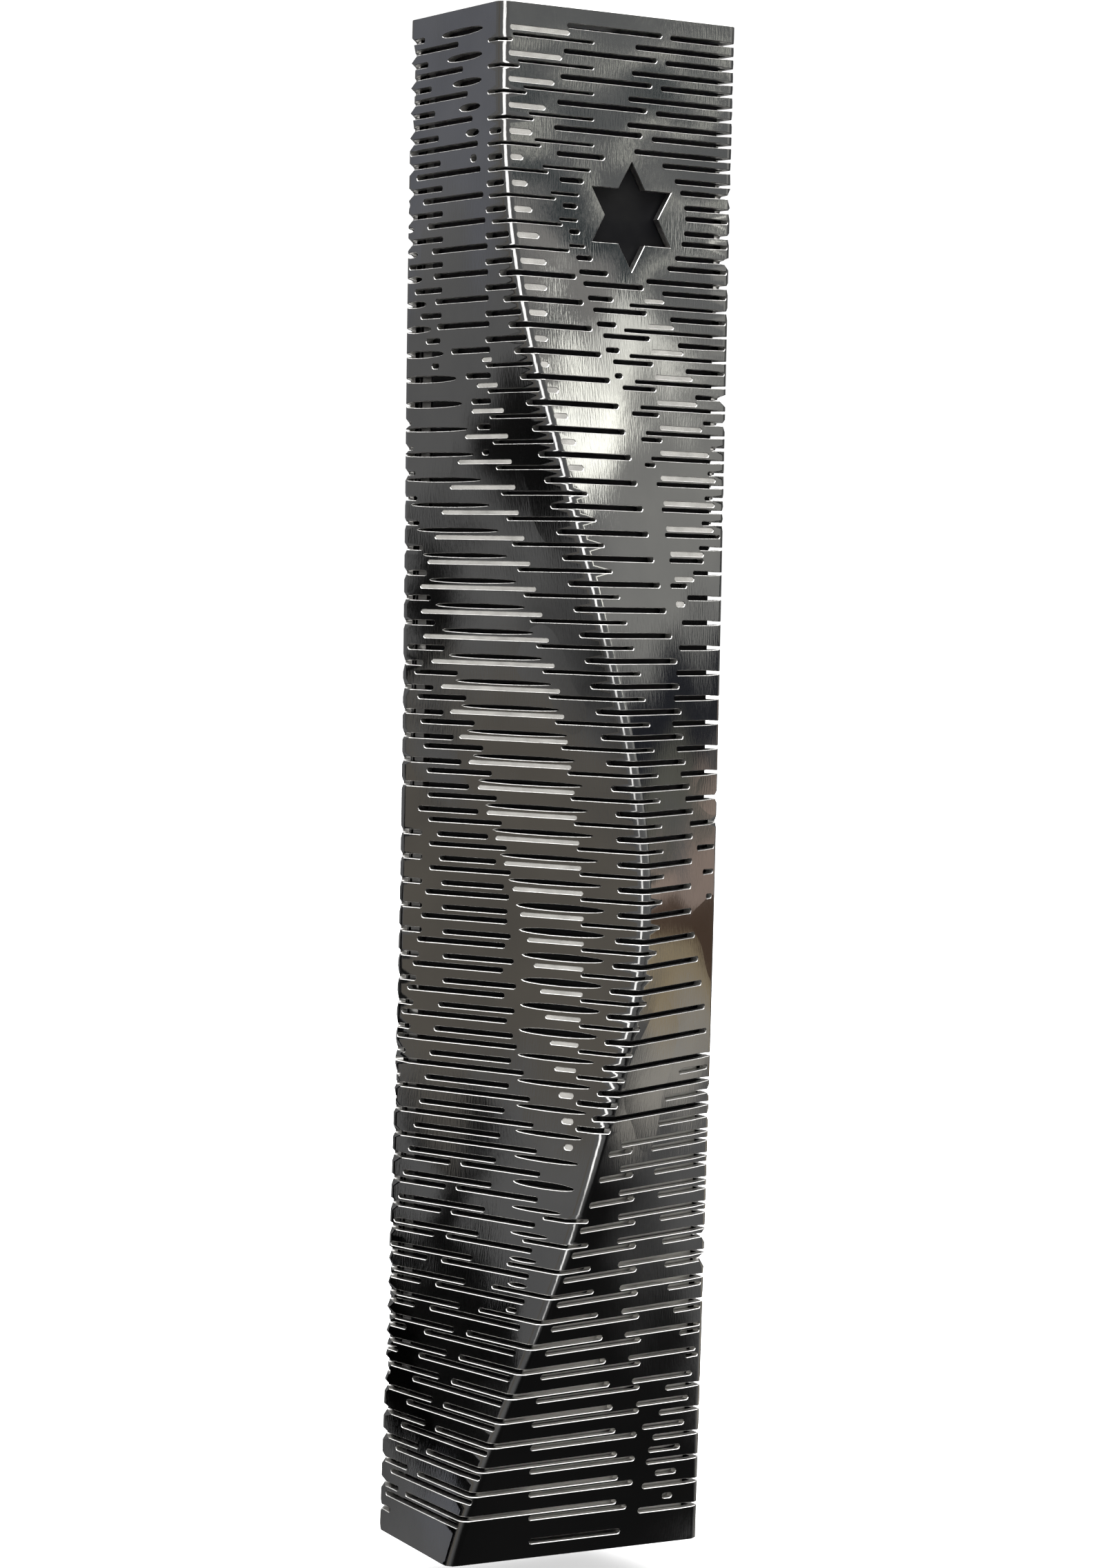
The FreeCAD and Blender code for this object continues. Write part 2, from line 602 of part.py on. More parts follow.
def build_lock():
    """Clinch nut in the lug, spacer, and the lock screw with its washer."""
    y, z = -size("lock_depth"), size("lock_height")
    out = V(1, 0, 0)

    def ring(outer, inner, start, length):
        solid = rod(outer, V(start, y, z), out, length)
        return solid.cut(rod(inner, V(start - 1, y, z), out, length + 2))

    nut = ring(2.8, 1.5, 9.5, 1.1).fuse(ring(1.98, 1.5, 10.6, 0.9)).removeSplitter()
    keep("clinch_nut", "Clinch nut in the lug", nut)
    keep("spacer_washer", "Spacer between lug and cover", ring(3.0, 2.1, 11.62, 0.98))
    keep("lock_washer", "Washer under the lock screw", ring(2.9, 1.55, WIDTH / 2 + 0.04, 0.4))
    head_start = WIDTH / 2 + 0.46
    head = rod(size("lock_head_radius"), V(head_start, y, z), out, 1.6)
    head = head.makeFillet(0.9, [e for e in head.Edges
                                 if abs(e.CenterOfMass.x - head_start - 1.6) < 0.01
                                 and len(e.Vertexes) == 1])
    points = [V(head_start + 0.7, y + math.cos(math.radians(60 * i)),
                z + math.sin(math.radians(60 * i))) for i in range(7)]
    socket = Part.Face(Part.makePolygon(points)).extrude(V(2, 0, 0))
    shank = rod(size("lock_radius"), V(9.7, y, z), out, head_start - 9.7)
    keep("lock_screw", "Lock screw", shank.fuse(head).cut(socket).removeSplitter())


# ---------------------------------------------------------------- tube and scroll
def build_tube():
    """Clear tube with its base plug and pull-out stopper."""
    x, y = size("tube_x"), size("tube_y")
    bottom, length = size("tube_bottom"), size("tube_length")
    top = bottom + length

    tube = new_body("scroll_tube", "Scroll tube")
    ring = new_sketch(tube, "XY_Plane", "TubeRing", bottom)
    draw_circle(ring, x, y, "tube_radius")
    draw_circle(ring, x, y, "tube_bore")
    pad(tube, ring, "TubePad", "Sizes.tube_length")

    plug = new_body("tube_base_plug", "Tube base plug")
    foot = new_sketch(plug, "XY_Plane", "PlugFoot", bottom - 1.0)
    draw_circle(foot, x, y, "tube_radius")
    pad(plug, foot, "PlugFootPad", 0.98)
    spigot = new_sketch(plug, "XY_Plane", "PlugSpigot", bottom - 0.1)
    draw_circle(spigot, x, y, "spigot_radius")
    pad(plug, spigot, "PlugSpigotPad", 2.0)

    stopper = new_body("tube_stopper", "Tube stopper")
    lip = new_sketch(stopper, "XY_Plane", "StopperLip", top + 0.02)
    draw_circle(lip, x, y, "tube_radius")
    pad(stopper, lip, "StopperLipPad", 1.2)
    neck = new_sketch(stopper, "XY_Plane", "StopperNeck", top - 6.0)
    draw_circle(neck, x, y, "spigot_radius")
    pad(stopper, neck, "StopperNeckPad", 6.1)
    knob = new_sketch(stopper, "XY_Plane", "StopperKnob", top + 1.2)
    number = knob.addGeometry(Part.Circle(V(x, y, 0), V(0, 0, 1), 3.0), False)
    knob.addConstraint(Sketcher.Constraint("Radius", number, 3.0))
    pad(stopper, knob, "StopperKnobPad", 2.6)


def build_scroll():
    """Rolled parchment as one spiral wall, with a paper band round it."""
    x, y = size("tube_x"), size("tube_y")
    bottom = size("tube_bottom") + 2.1
    core, rim, thick = size("scroll_core"), size("scroll_radius"), size("parchment")
    pitch = 0.55
    turns = (rim - core - thick) / pitch
    steps = int(turns * 18)

    def spiral(extra):
        points = []
        for i in range(steps + 1):
            angle = 2 * math.pi * turns * i / steps
            radius = core + extra + pitch * turns * i / steps
            points.append(V(x + radius * math.cos(angle), y + radius * math.sin(angle), bottom))
        curve = Part.BSplineCurve()
        curve.interpolate(points)
        return curve.toShape(), points

    inner, inner_points = spiral(0.0)
    outer, outer_points = spiral(thick)
    ends = [Part.makeLine(inner_points[k], outer_points[k]) for k in (0, -1)]
    face = Part.Face(Part.Wire(Part.__sortEdges__([inner, outer] + ends)))
    keep("scroll", "Rolled parchment", face.extrude(V(0, 0, size("scroll_length"))))
    band = rod(5.0, V(x, y, bottom + 52), V(0, 0, 1), 8)
    band = band.cut(rod(rim + 0.05, V(x, y, bottom + 51), V(0, 0, 1), 10))
    keep("scroll_band", "Paper band round the scroll", band)


build_back_plate()
build_clips()
build_rivets()
build_lock()
build_cover()
build_liner()
build_top_cap()
build_tube()
build_scroll()
doc.recompute()

for item in doc.Objects:
    if "Invalid" in item.State or "Error" in item.State:
        raise RuntimeError("%s did not rebuild" % item.Name)
for name, feature in made.items():
    shape = feature.Shape
    if shape.isNull() or not shape.isValid() or not shape.Solids:
        raise RuntimeError("%s has no sound solid" % name)
    shape.exportStep("parts/%s.step" % name)
    print(name, len(shape.Solids), len(shape.Faces), round(shape.Volume, 1))
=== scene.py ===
import logging
import math
from dataclasses import dataclass
from enum import Enum

import bpy
import numpy as np
from mathutils import Matrix, Vector
from mathutils.geometry import delaunay_2d_cdt


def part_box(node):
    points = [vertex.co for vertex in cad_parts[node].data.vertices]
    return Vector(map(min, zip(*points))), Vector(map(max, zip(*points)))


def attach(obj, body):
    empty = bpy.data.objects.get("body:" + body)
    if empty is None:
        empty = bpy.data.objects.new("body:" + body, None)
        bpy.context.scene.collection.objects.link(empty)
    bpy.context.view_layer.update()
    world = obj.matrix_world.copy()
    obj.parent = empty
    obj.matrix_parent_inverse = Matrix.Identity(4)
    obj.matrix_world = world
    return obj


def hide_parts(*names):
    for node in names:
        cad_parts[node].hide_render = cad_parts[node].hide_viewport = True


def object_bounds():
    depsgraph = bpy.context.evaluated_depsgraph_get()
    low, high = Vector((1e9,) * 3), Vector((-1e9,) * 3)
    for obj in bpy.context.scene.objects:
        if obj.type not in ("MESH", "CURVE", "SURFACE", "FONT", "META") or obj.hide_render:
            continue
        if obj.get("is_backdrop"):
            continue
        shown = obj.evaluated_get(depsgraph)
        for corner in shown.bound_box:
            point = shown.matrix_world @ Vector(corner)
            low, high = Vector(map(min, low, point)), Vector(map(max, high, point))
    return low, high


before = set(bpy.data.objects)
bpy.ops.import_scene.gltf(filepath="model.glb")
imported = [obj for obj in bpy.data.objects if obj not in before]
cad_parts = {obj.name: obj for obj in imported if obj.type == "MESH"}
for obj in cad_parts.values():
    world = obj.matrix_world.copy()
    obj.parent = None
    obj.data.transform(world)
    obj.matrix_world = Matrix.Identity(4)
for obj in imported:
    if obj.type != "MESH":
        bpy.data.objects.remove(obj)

# Wall-mounted scroll case: a folded steel cover pierced with rows of fine slots, a dark
# liner behind them, and a tube with a parchment roll held on the back plate. Sheet shapes
# are worked out in millimetres on the flat sheet, as (girth, height), with the case's bottom
# at height zero, and go into the meshes in metres about the middle of the back plate.

log = logging.getLogger("scroll_case")
MM = 0.001
SIDE_DEPTH = 18.0
SHARP_EDGE = math.radians(40)
Array = np.ndarray
Colour = tuple[float, float, float]


# ---------------------------------------------------------------- folded sheet
@dataclass(frozen=True)
class FoldedPlan:
    """Plan of the case's sheet at every height, as a path with five panels and four folds."""

    width: float
    depth: float
    height: float
    gap: float = 0.15
    flange: float = 4.0
    bend: float = 1.0
    crease_step: float = 15.0
    crease: tuple[float, ...] = (14.6, 16.3, 20.3, 24.5, 27.4, 29.9, 28.9, 26.2, 23.2,
                                 19.7, 18.1, 18.0, 18.0)

    def crease_reach(self, z: Array) -> Array:
        """Width of the left panel at height z.

        Formula: a uniform cubic B-spline over height, one control value every crease_step,
        with the first one a step below zero.

        Args:
            z: heights in mm.

        Returns:
            Distances from the back left fold to the front crease, in mm.
        """
        place = z / self.crease_step + 1
        i = np.clip(np.floor(place).astype(int), 1, len(self.crease) - 3)
        f = place - i
        weights = ((1 - f) ** 3 / 6, (3 * f ** 3 - 6 * f * f + 4) / 6,
                   (-3 * f ** 3 + 3 * f * f + 3 * f + 1) / 6, f ** 3 / 6)
        values = np.array(self.crease)
        return sum(values[i - 1 + k] * w for k, w in enumerate(weights))

    def corners(self, z: Array) -> Array:
        """Sharp corners of the path at each height.

        Formula: the left and front panels share one width of sheet, so the crease lies on an
        ellipse whose foci are the back left and front right corners.

        Args:
            z: heights in mm, n of them.

        Returns:
            Array (n, 6, 2) of corner points in mm.
        """
        a = self.crease_reach(z)
        b = self.width + self.depth - a
        span = math.hypot(self.width, self.depth)
        along = (a * a - b * b + span ** 2) / (2 * span)
        out = np.sqrt(a * a - along * along)
        ux, uy = self.width / span, -self.depth / span
        half = self.width / 2
        one = np.ones_like(a)
        xs = [(self.flange - half) * one, -half * one, -half + ux * along + uy * out,
              half * one, half * one, (half - self.flange) * one]
        ys = [-self.gap * one, -self.gap * one, uy * along - ux * out,
              -self.depth * one, -self.gap * one, -self.gap * one]
        return np.stack([np.stack(xs, axis=1), np.stack(ys, axis=1)], axis=2)

    def folds(self, z: Array) -> tuple[Array, Array]:
        """Girths of the four folds and half the sheet length that each one bends.

        Args:
            z: heights in mm.

        Returns:
            Two arrays (n, 4): girth of each fold, and its tangent length.
        """
        steps = np.diff(self.corners(z), axis=1)
        lengths = np.linalg.norm(steps, axis=2)
        along = steps / lengths[..., None]
        girths = np.cumsum(lengths, axis=1) - lengths[:, :1]
        return girths[:, :4], self.bend * np.tan(self.turns(along) / 2)

    @staticmethod
    def turns(along: Array) -> Array:
        """Angle turned at each inner corner between unit steps (n, 5, 2)."""
        before, after = along[:, :-1], along[:, 1:]
        cross = before[..., 0] * after[..., 1] - before[..., 1] * after[..., 0]
        return np.arctan2(cross, (before * after).sum(axis=2))

    def place(self, girth: Array, z: Array, depth: Array | float) -> Array:
        """Point of the folded sheet.

        Formula: on a panel, the corner plus the girth left along the panel, moved inwards by
        depth; within a fold's tangent length, a point of the arc of radius bend less depth.

        Args:
            girth: girth from the back left fold, mm.
            z: height, mm.
            depth: distance in from the outer side, mm.

        Returns:
            Array (n, 3) in mm.
        """
        corners = self.corners(z)
        steps = np.diff(corners, axis=1)
        lengths = np.linalg.norm(steps, axis=2)
        along = steps / lengths[..., None]
        inward = np.stack([-along[..., 1], along[..., 0]], axis=2)
        turn = self.turns(along)
        tangent = self.bend * np.tan(turn / 2)
        ends = np.cumsum(lengths, axis=1) - lengths[:, :1]
        row = np.arange(len(girth))
        panel = (girth[:, None] >= ends[:, :4]).sum(axis=1)
        start = ends[row, panel] - lengths[row, panel]
        depth = np.broadcast_to(depth, girth.shape)[:, None]
        flat = (corners[row, panel] + along[row, panel] * (girth - start)[:, None]
                + inward[row, panel] * depth)
        fold = np.abs(girth[:, None] - ends[:, :4]).argmin(axis=1)
        reach = tangent[row, fold]
        into = (girth - ends[row, fold] + reach) / (2 * reach)
        angle = (np.clip(into, 0, 1) * turn[row, fold])[:, None]
        ahead, side = along[row, fold], inward[row, fold]
        centre = corners[row, fold + 1] - ahead * reach[:, None] + side * self.bend
        normal = np.cos(angle) * side - np.sin(angle) * ahead
        bent = centre - normal * (self.bend - depth)
        plan = np.where(((into > 0) & (into < 1))[:, None], bent, flat)
        return np.column_stack([plan, z])

    def normals(self, girth: Array, z: Array) -> Array:
        """Outward unit normals: cross product of the surface's two slopes by differences."""
        e = 0.02
        across = self.place(girth + e, z, 0.0) - self.place(girth - e, z, 0.0)
        up = self.place(girth, z + e, 0.0) - self.place(girth, z - e, 0.0)
        out = np.cross(across, up)
        return out / np.linalg.norm(out, axis=1)[:, None]


# ---------------------------------------------------------------- slot pattern
class SlotShape(Enum):
    """How a slot's ends are drawn."""

    ROUND = 1
    LENS = 2


class Cut(Enum):
    """How a slot is made: pierced onto the black liner or onto a painted highlight on it, or
    only etched.
    """

    PIERCED = 1
    BARE = 2
    # Slots of this kind show a light patch painted on the liner behind them, a painted
    # highlight standing in for their lit cut faces.
    ETCHED = 3


@dataclass(frozen=True)
class SlotRun:
    """A run of slots up the sheet that share a row offset and change width smoothly.

    shifts are (height, rows down) points and spans are (height, start, end) points. cut says
    how its slots are made; above etched_above the part beyond the crease is only etched.
    """

    shifts: tuple[tuple[float, float], ...]
    spans: tuple[tuple[float, float, float], ...]
    shape: SlotShape = SlotShape.ROUND
    cut: Cut = Cut.PIERCED
    etched_above: float = 999.0

    def slots(self, first: float, pitch: float, top: float) -> Array:
        """Slots of the run as rows of (start, end, height)."""
        level = first - pitch * np.arange(-1, 61)
        z = level - pitch * np.interp(level, *np.array(self.shifts).T)
        heights, starts, ends = np.array(self.spans).T
        kept = ((z >= heights[0] - 0.3) & (z <= heights[-1] + 0.3)
                & (z > 1.2) & (z < top - 1.5))
        z = z[kept]
        return np.column_stack([np.interp(z, heights, starts), np.interp(z, heights, ends), z])


LENS = SlotShape.LENS
RUNS: dict[str, SlotRun] = {
    "upper left": SlotRun(((0, -0.1),), (
        (107, 12.1, 12.8), (110, 11.5, 13.4), (115, 10.2, 14.0), (119.8, 5.9, 14.4),
        (127, 5.2, 14.9), (132, 3.5, 14.5), (136.8, 0.9, 13.7), (138, -1, 13.2),
        (148, -1, 9.3))),
    "left lens": SlotRun(((25, -0.2), (60, -0.15), (80, 0.0), (132, -0.05)), (
        (24.5, 17.8, 19.0), (32, 17.0, 21.5), (37, 16.6, 24.0), (42, 16.3, 24.2),
        (49.5, 15.8, 24.6), (59, 15.6, 24.7), (64, 14.7, 24.6), (69, 12.6, 23.8),
        (76, 10.2, 22.2), (85.5, 7.6, 19.1), (95, 4.4, 15.6), (105, 0.9, 11.6),
        (108, -1, 10.6), (115, -1, 8.6), (119.5, -1, 4.9), (132.5, -1, 0.8)), LENS),
    "upper crossing": SlotRun(((0, 0.0),), (
        (43, 25.0, 48.0), (48.8, 25.6, 48.0), (50, 25.6, 43.9), (54, 25.5, 43.0),
        (59, 25.8, 41.0), (64, 26.1, 39.0), (73.5, 25.9, 39.5), (78.5, 25.0, 38.0),
        (88, 23.3, 37.2), (98, 21.5, 34.2), (112, 18.9, 30.8), (122, 17.0, 27.0),
        (132, 15.5, 24.0), (148, 15.5, 18.6))),
    "lower crossing": SlotRun(((0, 0.05),), (
        (3, 4.5, 34.9), (7.5, 8.0, 34.9), (12.2, 10.0, 34.1), (17, 11.5, 32.8),
        (22, 12.8, 31.1), (26.6, 15.3, 29.1), (31.5, 18.5, 27.2), (35, 21.6, 26.4)),
        cut=Cut.BARE),
    "lower right": SlotRun(((0, 0.05), (40, 0.1)), (
        (4.5, 40.4, 41.4), (10, 38.2, 42.2), (14.7, 36.4, 43.0), (21.6, 34.2, 44.0),
        (24, 33.4, 47.6), (31, 31.5, 48.0), (42, 29.8, 48.2)), cut=Cut.BARE),
    "middle crossing": SlotRun(((38, 0.45), (125, 0.52)), (
        (41.5, 23.5, 27.4), (47.6, 22.8, 28.7), (57.7, 22.3, 31.5), (67.4, 21.8, 33.1),
        (77, 20.6, 32.7), (86.7, 18.2, 31.0), (96.4, 15.8, 28.1), (106, 13.8, 25.0),
        (111, 13.4, 23.6), (116, 13.4, 21.8), (125.4, 14.4, 22.3), (130.4, 14.9, 20.8),
        (135.3, 15.5, 19.8), (138, 15.9, 20.9), (140, 17.4, 22.2), (142, 18.6, 23.0),
        (148, 18.9, 25.0)), etched_above=105.0),
    "lower front": SlotRun(((0, 0.3), (40, 0.42)), (
        (1, 25.4, 35.4), (6.6, 24.7, 36.7), (13.8, 23.9, 36.8), (20.6, 24.0, 36.4),
        (28, 24.5, 34.8), (34, 25.8, 33.6), (41.4, 28.4, 31.6)), cut=Cut.BARE),
    "left band": SlotRun(((38, 0.22), (120, 0.28)), (
        (38, 23.0, 23.6), (46, 20.9, 22.6), (56, 17.7, 22.6), (65, 14.4, 22.2),
        (75, 10.2, 21.3), (84.4, 6.0, 20.2), (89.3, 3.6, 19.2), (94.2, 3.0, 18.0),
        (101.5, 5.9, 16.4), (111, 10.6, 15.6), (117, 13.1, 14.2)), cut=Cut.ETCHED),
    "left edge": SlotRun(((40, 0.55), (60, 0.55), (72, 0.65), (90, 0.72)), (
        (39.5, -1, 19.2), (45.3, -1, 17.5), (50, 0.9, 15.5), (52.7, 1.8, 14.0),
        (57.3, 2.9, 13.4), (67, 4.6, 14.0), (76.4, 4.1, 11.8), (86, 2.5, 7.9),
        (90, 1.0, 5.2), (91, -1, 5.0), (100, -1, 3.0), (111, -1, 1.6))),
    "lower left inner": SlotRun(((0, 0.35), (40, 0.42)), (
        (3, 1.4, 16.4), (6.8, 2.7, 18.4), (11.6, 4.1, 19.1), (18.7, 6.1, 20.0),
        (28.2, 8.2, 20.0), (38.6, 9.9, 19.7))),
    "lower left edge": SlotRun(((0, 0.35), (40, 0.45)), (
        (15, -1, 1.2), (23.3, -1, 4.9), (28, -1, 6.2), (33, -1, 7.7), (38.6, -1, 8.6))),
    "left ticks": SlotRun(
        ((15, 0.0), (30, 0.12), (50, 0.12), (70, 0.22), (87, 0.35)), (
        (2, -1, 2.6), (7, -1, 5.6), (10, -1, 7.6), (21.7, -1, 10.9), (27, -1, 11.8),
        (29, 0.9, 12.3), (36.4, 2.5, 13.9), (46.5, 4.9, 15.0), (56, 6.5, 15.0),
        (65.5, 6.0, 13.2), (70.3, 5.4, 11.3), (72, 4.9, 10.5), (74, -1, 9.5),
        (80, -1, 7.2), (88, -1, 3.0))),
    "edge nicks": SlotRun(((43, 0.12), (70, 0.22)), (
        (43.5, -1, 1.2), (50.9, -1, 2.8), (60.4, -1, 3.8), (71, -1, 3.6))),
    "top edge nicks": SlotRun(((0, -0.55),), (
        (115, 5.3, 5.9), (120.7, 3.2, 6.6), (125.6, 1.2, 7.0), (127.5, -1, 7.1),
        (133, -1, 7.1), (138, -1, 6.3), (148, -1, 3.2))),
    "top lens": SlotRun(((0, -0.55),), (
        (135, 12.5, 13.3), (138, 11.5, 13.9), (143, 8.9, 14.3), (148.2, 6.5, 14.4)), LENS),
    "top front": SlotRun(((0, -0.21),), (
        (115, 30.5, 31.4), (120.4, 28.4, 30.8), (125.3, 26.5, 30.2), (130, 24.4, 28.6),
        (137.3, 21.7, 28.4), (148, 18.9, 28.2))),
    "front middle": SlotRun(((0, 0.24),), (
        (106, 33.8, 34.8), (109.2, 33.4, 36.1), (116.5, 30.3, 35.2), (123.8, 27.1, 34.2),
        (131, 24.9, 34.0), (138.4, 23.9, 33.9), (148.4, 25.2, 36.0))),
    "top right": SlotRun(((95, 0.0), (130, -0.05), (147, -0.22)), (
        (94.5, 36.6, 38.4), (98, 36.6, 42.1), (100, 36.1, 44.0), (101.5, 36.0, 47.4),
        (110, 34.0, 48.0), (120, 31.7, 48.0), (125, 33.6, 47.0), (133, 34.4, 47.4),
        (140, 32.0, 48.4), (148, 33.1, 48.0))),
    "right edge": SlotRun(((65, 0.52), (90, 0.47), (110, 0.47), (148, 0.28)), (
        (64, 42.8, 43.8), (68, 41.4, 44.2), (71.5, 39.0, 44.2), (72.5, 38.6, 47.0),
        (77, 37.1, 47.8), (82, 35.9, 48.2), (91.5, 38.2, 48.2), (98.8, 41.0, 47.6),
        (108.6, 42.6, 47.0), (113.6, 40.5, 46.9), (116, 39.3, 44.4), (125.9, 35.5, 44.4),
        (131, 35.8, 44.4), (133, 36.9, 47.2), (138.4, 35.0, 48.0), (149, 37.1, 47.6))),
    "right band": SlotRun(((0, -0.27),), (
        (93, 37.4, 38.5), (95.8, 37.3, 40.2), (100.6, 36.3, 43.1), (105.6, 35.8, 43.3),
        (110.6, 35.9, 41.3), (115.4, 35.4, 40.1), (123.5, 34.2, 36.2)), cut=Cut.ETCHED),
    "lower right band": SlotRun(((15, 0.3), (45, 0.5)), (
        (18.2, 42.6, 44.0), (21, 41.5, 44.2), (26, 39.4, 44.2), (29, 38.6, 47.0),
        (35.6, 36.8, 47.6), (40.2, 35.0, 47.8), (45.1, 36.5, 47.0), (47.6, 38.7, 44.0)),
        cut=Cut.BARE),
    "foot right": SlotRun(((0, 0.55),), (
        (1, 37.2, 47.6), (8.5, 38.2, 48.0), (13.3, 39.4, 47.6), (16.5, 40.2, 47.0)),
        cut=Cut.BARE),
    "right side front": SlotRun(((0, 0.0),), (
        (17, 50.4, 56.4), (45, 52.2, 58.6), (75, 50.2, 57.0), (110, 52.0, 59.6),
        (148, 50.6, 57.4))),
    "right side back": SlotRun(((0, 0.5),), (
        (17, 53.0, 61.0), (45, 50.6, 60.6), (80, 53.4, 61.2), (115, 50.4, 58.4),
        (148, 52.4, 61.2))),
}


@dataclass(frozen=True)
class Slot:
    """One slot on the flat sheet, mm."""

    start: float
    end: float
    z: float
    shape: SlotShape
    cut: Cut


@dataclass(frozen=True)
class Pattern:
    """All the slots and the star window."""

    plan: FoldedPlan
    first_row: float = 146.4
    pitch: float = 2.44
    slot_width: float = 0.5
    lens_width: float = 0.66
    least_bar: float = 0.22
    shortest: float = 0.7
    star_girth: float = 32.8
    star_height: float = 130.6
    star_reach: float = 5.3
    star_room: float = 1.0
    end_gap: float = 0.3
    etched_from_crease: float = 0.7
    etched_longer: float = 0.6
    lens_power: float = 0.45
    fold_narrowing: float = 0.4
    fold_reach: float = 1.3

    def star(self) -> Array:
        """Corners of the six-pointed star: twelve points at two reaches, clockwise."""
        turn = np.radians(90 - 30 * np.arange(12))
        reach = np.where(np.arange(12) % 2 == 0, self.star_reach,
                         self.star_reach / math.sqrt(3))
        return np.column_stack([self.star_girth + reach * np.cos(turn),
                                self.star_height + reach * np.sin(turn)])

    def slots(self) -> list[Slot]:
        """Every slot of every run, with a gap left round the star.

        A run that is etched above some height is divided there at the crease: its left part
        stays pierced and its right part is etched.
        """
        found = []
        for run in RUNS.values():
            for start, end, z in run.slots(self.first_row, self.pitch, self.plan.height):
                parts = [(start, end, run.cut)]
                if z > run.etched_above:
                    crease = float(self.plan.crease_reach(np.array([z]))[0])
                    parts = [(start, min(end, crease - self.end_gap), run.cut),
                             (max(start, crease + self.etched_from_crease),
                              end + self.etched_longer, Cut.ETCHED)]
                found += [Slot(a, b, z, run.shape, cut) for low, high, cut in parts
                          for a, b in self.clear_of_star(low, high, z)
                          if b - a > self.shortest]
        return found

    def half_widths(self, slots: list[Slot]) -> Array:
        """Half the width of each slot, less where the next one above or below is too near."""
        start, end, z = (np.array([getattr(slot, name) for slot in slots])
                         for name in ("start", "end", "z"))
        lens = np.array([slot.shape is SlotShape.LENS for slot in slots])
        apart = np.abs(z[:, None] - z[None, :])
        beside = ((start[:, None] < end[None, :] + self.end_gap)
                  & (end[:, None] > start[None, :] - self.end_gap))
        apart[~beside | (apart < 1e-6)] = math.inf
        wished = np.where(lens, self.lens_width, self.slot_width) / 2
        return np.minimum(wished, (apart.min(axis=1) - self.least_bar) / 2)

    def clear_of_star(self, start: float, end: float, z: float) -> list[tuple[float, float]]:
        """The parts of a slot outside the circle of metal that is left round the star."""
        room = self.star_reach + self.star_room
        rise = abs(z - self.star_height)
        if rise >= room:
            return [(start, end)]
        half = math.sqrt(room * room - rise * rise)
        return [(start, min(end, self.star_girth - half)),
                (max(start, self.star_girth + half), end)]

    def outline(self, slot: Slot, half: float) -> Array:
        """Closed outline of a slot, clockwise.

        Formula: a round-ended slot is a rectangle with half-circle ends; a lens has the half
        width w (1 - u^2)^lens_power at u from -1 to 1 along it. Stations lie closer on the
        folds, and a slot that crosses an outer fold is narrower there, by a bell curve of
        girth.

        Args:
            slot: the slot to draw.
            half: half its width, mm.

        Returns:
            Array (m, 2) of (girth, height).
        """
        lens = slot.shape is SlotShape.LENS and slot.end - slot.start > 2.0
        middle, reach = (slot.start + slot.end) / 2, (slot.end - slot.start) / 2
        folds, tangents = self.plan.folds(np.array([slot.z]))
        on_folds = (folds[0][:, None] + tangents[0][:, None] * np.linspace(-1, 1, 7)).ravel()
        if lens:
            even = reach * np.sin(np.linspace(-1, 1, 11) * math.pi / 2) + middle
        else:
            flat = reach - half
            even = np.linspace(middle - flat, middle + flat, 2 + int(flat / 1.5))
        inner = (on_folds > even[1]) & (on_folds < even[-2])
        stations = np.sort(np.concatenate([even, on_folds[inner]]))
        stations = stations[np.concatenate([[True], np.diff(stations) > 0.1])]
        bells = [np.exp(-((stations - folds[0, k]) / self.fold_reach) ** 2) for k in (0, 2)]
        narrow = 1 - self.fold_narrowing * bells[0] - self.fold_narrowing * bells[1]
        if lens:
            u = np.clip((stations - middle) / reach, -1, 1)
            rise = half * narrow * (1 - u * u) ** self.lens_power
            upper = np.column_stack([stations, slot.z + rise])[1:-1]
            lower = np.column_stack([stations, slot.z - rise])[1:-1][::-1]
            tips = np.array([[slot.start, slot.z]]), np.array([[slot.end, slot.z]])
            return np.vstack([tips[0], upper, tips[1], lower])
        angle = np.radians((45, 0, -45))
        cap = np.column_stack([np.cos(angle), np.sin(angle)]) * half
        right = cap * narrow[-1] + (stations[-1], slot.z)
        left = cap * -narrow[0] + (stations[0], slot.z)
        upper = np.column_stack([stations, slot.z + half * narrow])
        lower = np.column_stack([stations, slot.z - half * narrow])[::-1]
        return np.vstack([upper, right, lower, left])


# ---------------------------------------------------------------- mesh helpers
def new_piece(name: str, points: Array, faces: list[Array], uv: Array | None = None,
              loop_normals: Array | None = None) -> bpy.types.Object:
    """A mesh object at the origin from whole arrays.

    Args:
        name: object name.
        points: (n, 3) points in metres.
        faces: arrays of triangles or quads, in order.
        uv: (n, 2) coordinates for each point, if a pattern follows the surface.
        loop_normals: (loops, 3) normals, if the shape's own normals are known.

    Returns:
        The object, linked to the scene.
    """
    sizes = np.concatenate([np.full(len(f), f.shape[1]) for f in faces])
    corners = np.concatenate([f.ravel() for f in faces]).astype(np.int32)
    mesh = bpy.data.meshes.new(name)
    mesh.vertices.add(len(points))
    mesh.vertices.foreach_set("co", np.asarray(points, dtype=np.float32).ravel())
    mesh.loops.add(len(corners))
    mesh.loops.foreach_set("vertex_index", corners)
    mesh.polygons.add(len(sizes))
    mesh.polygons.foreach_set("loop_start", (np.cumsum(sizes) - sizes).astype(np.int32))
    mesh.polygons.foreach_set("use_smooth", np.ones(len(sizes), dtype=bool))
    mesh.update(calc_edges=True)
    if uv is not None:
        layer = mesh.uv_layers.new(name="sheet")
        layer.uv.foreach_set("vector", uv[corners].astype(np.float32).ravel())
    if loop_normals is not None:
        mesh.normals_split_custom_set(loop_normals.astype(np.float32))
    piece = bpy.data.objects.new(name, mesh)
    bpy.context.scene.collection.objects.link(piece)
    return piece


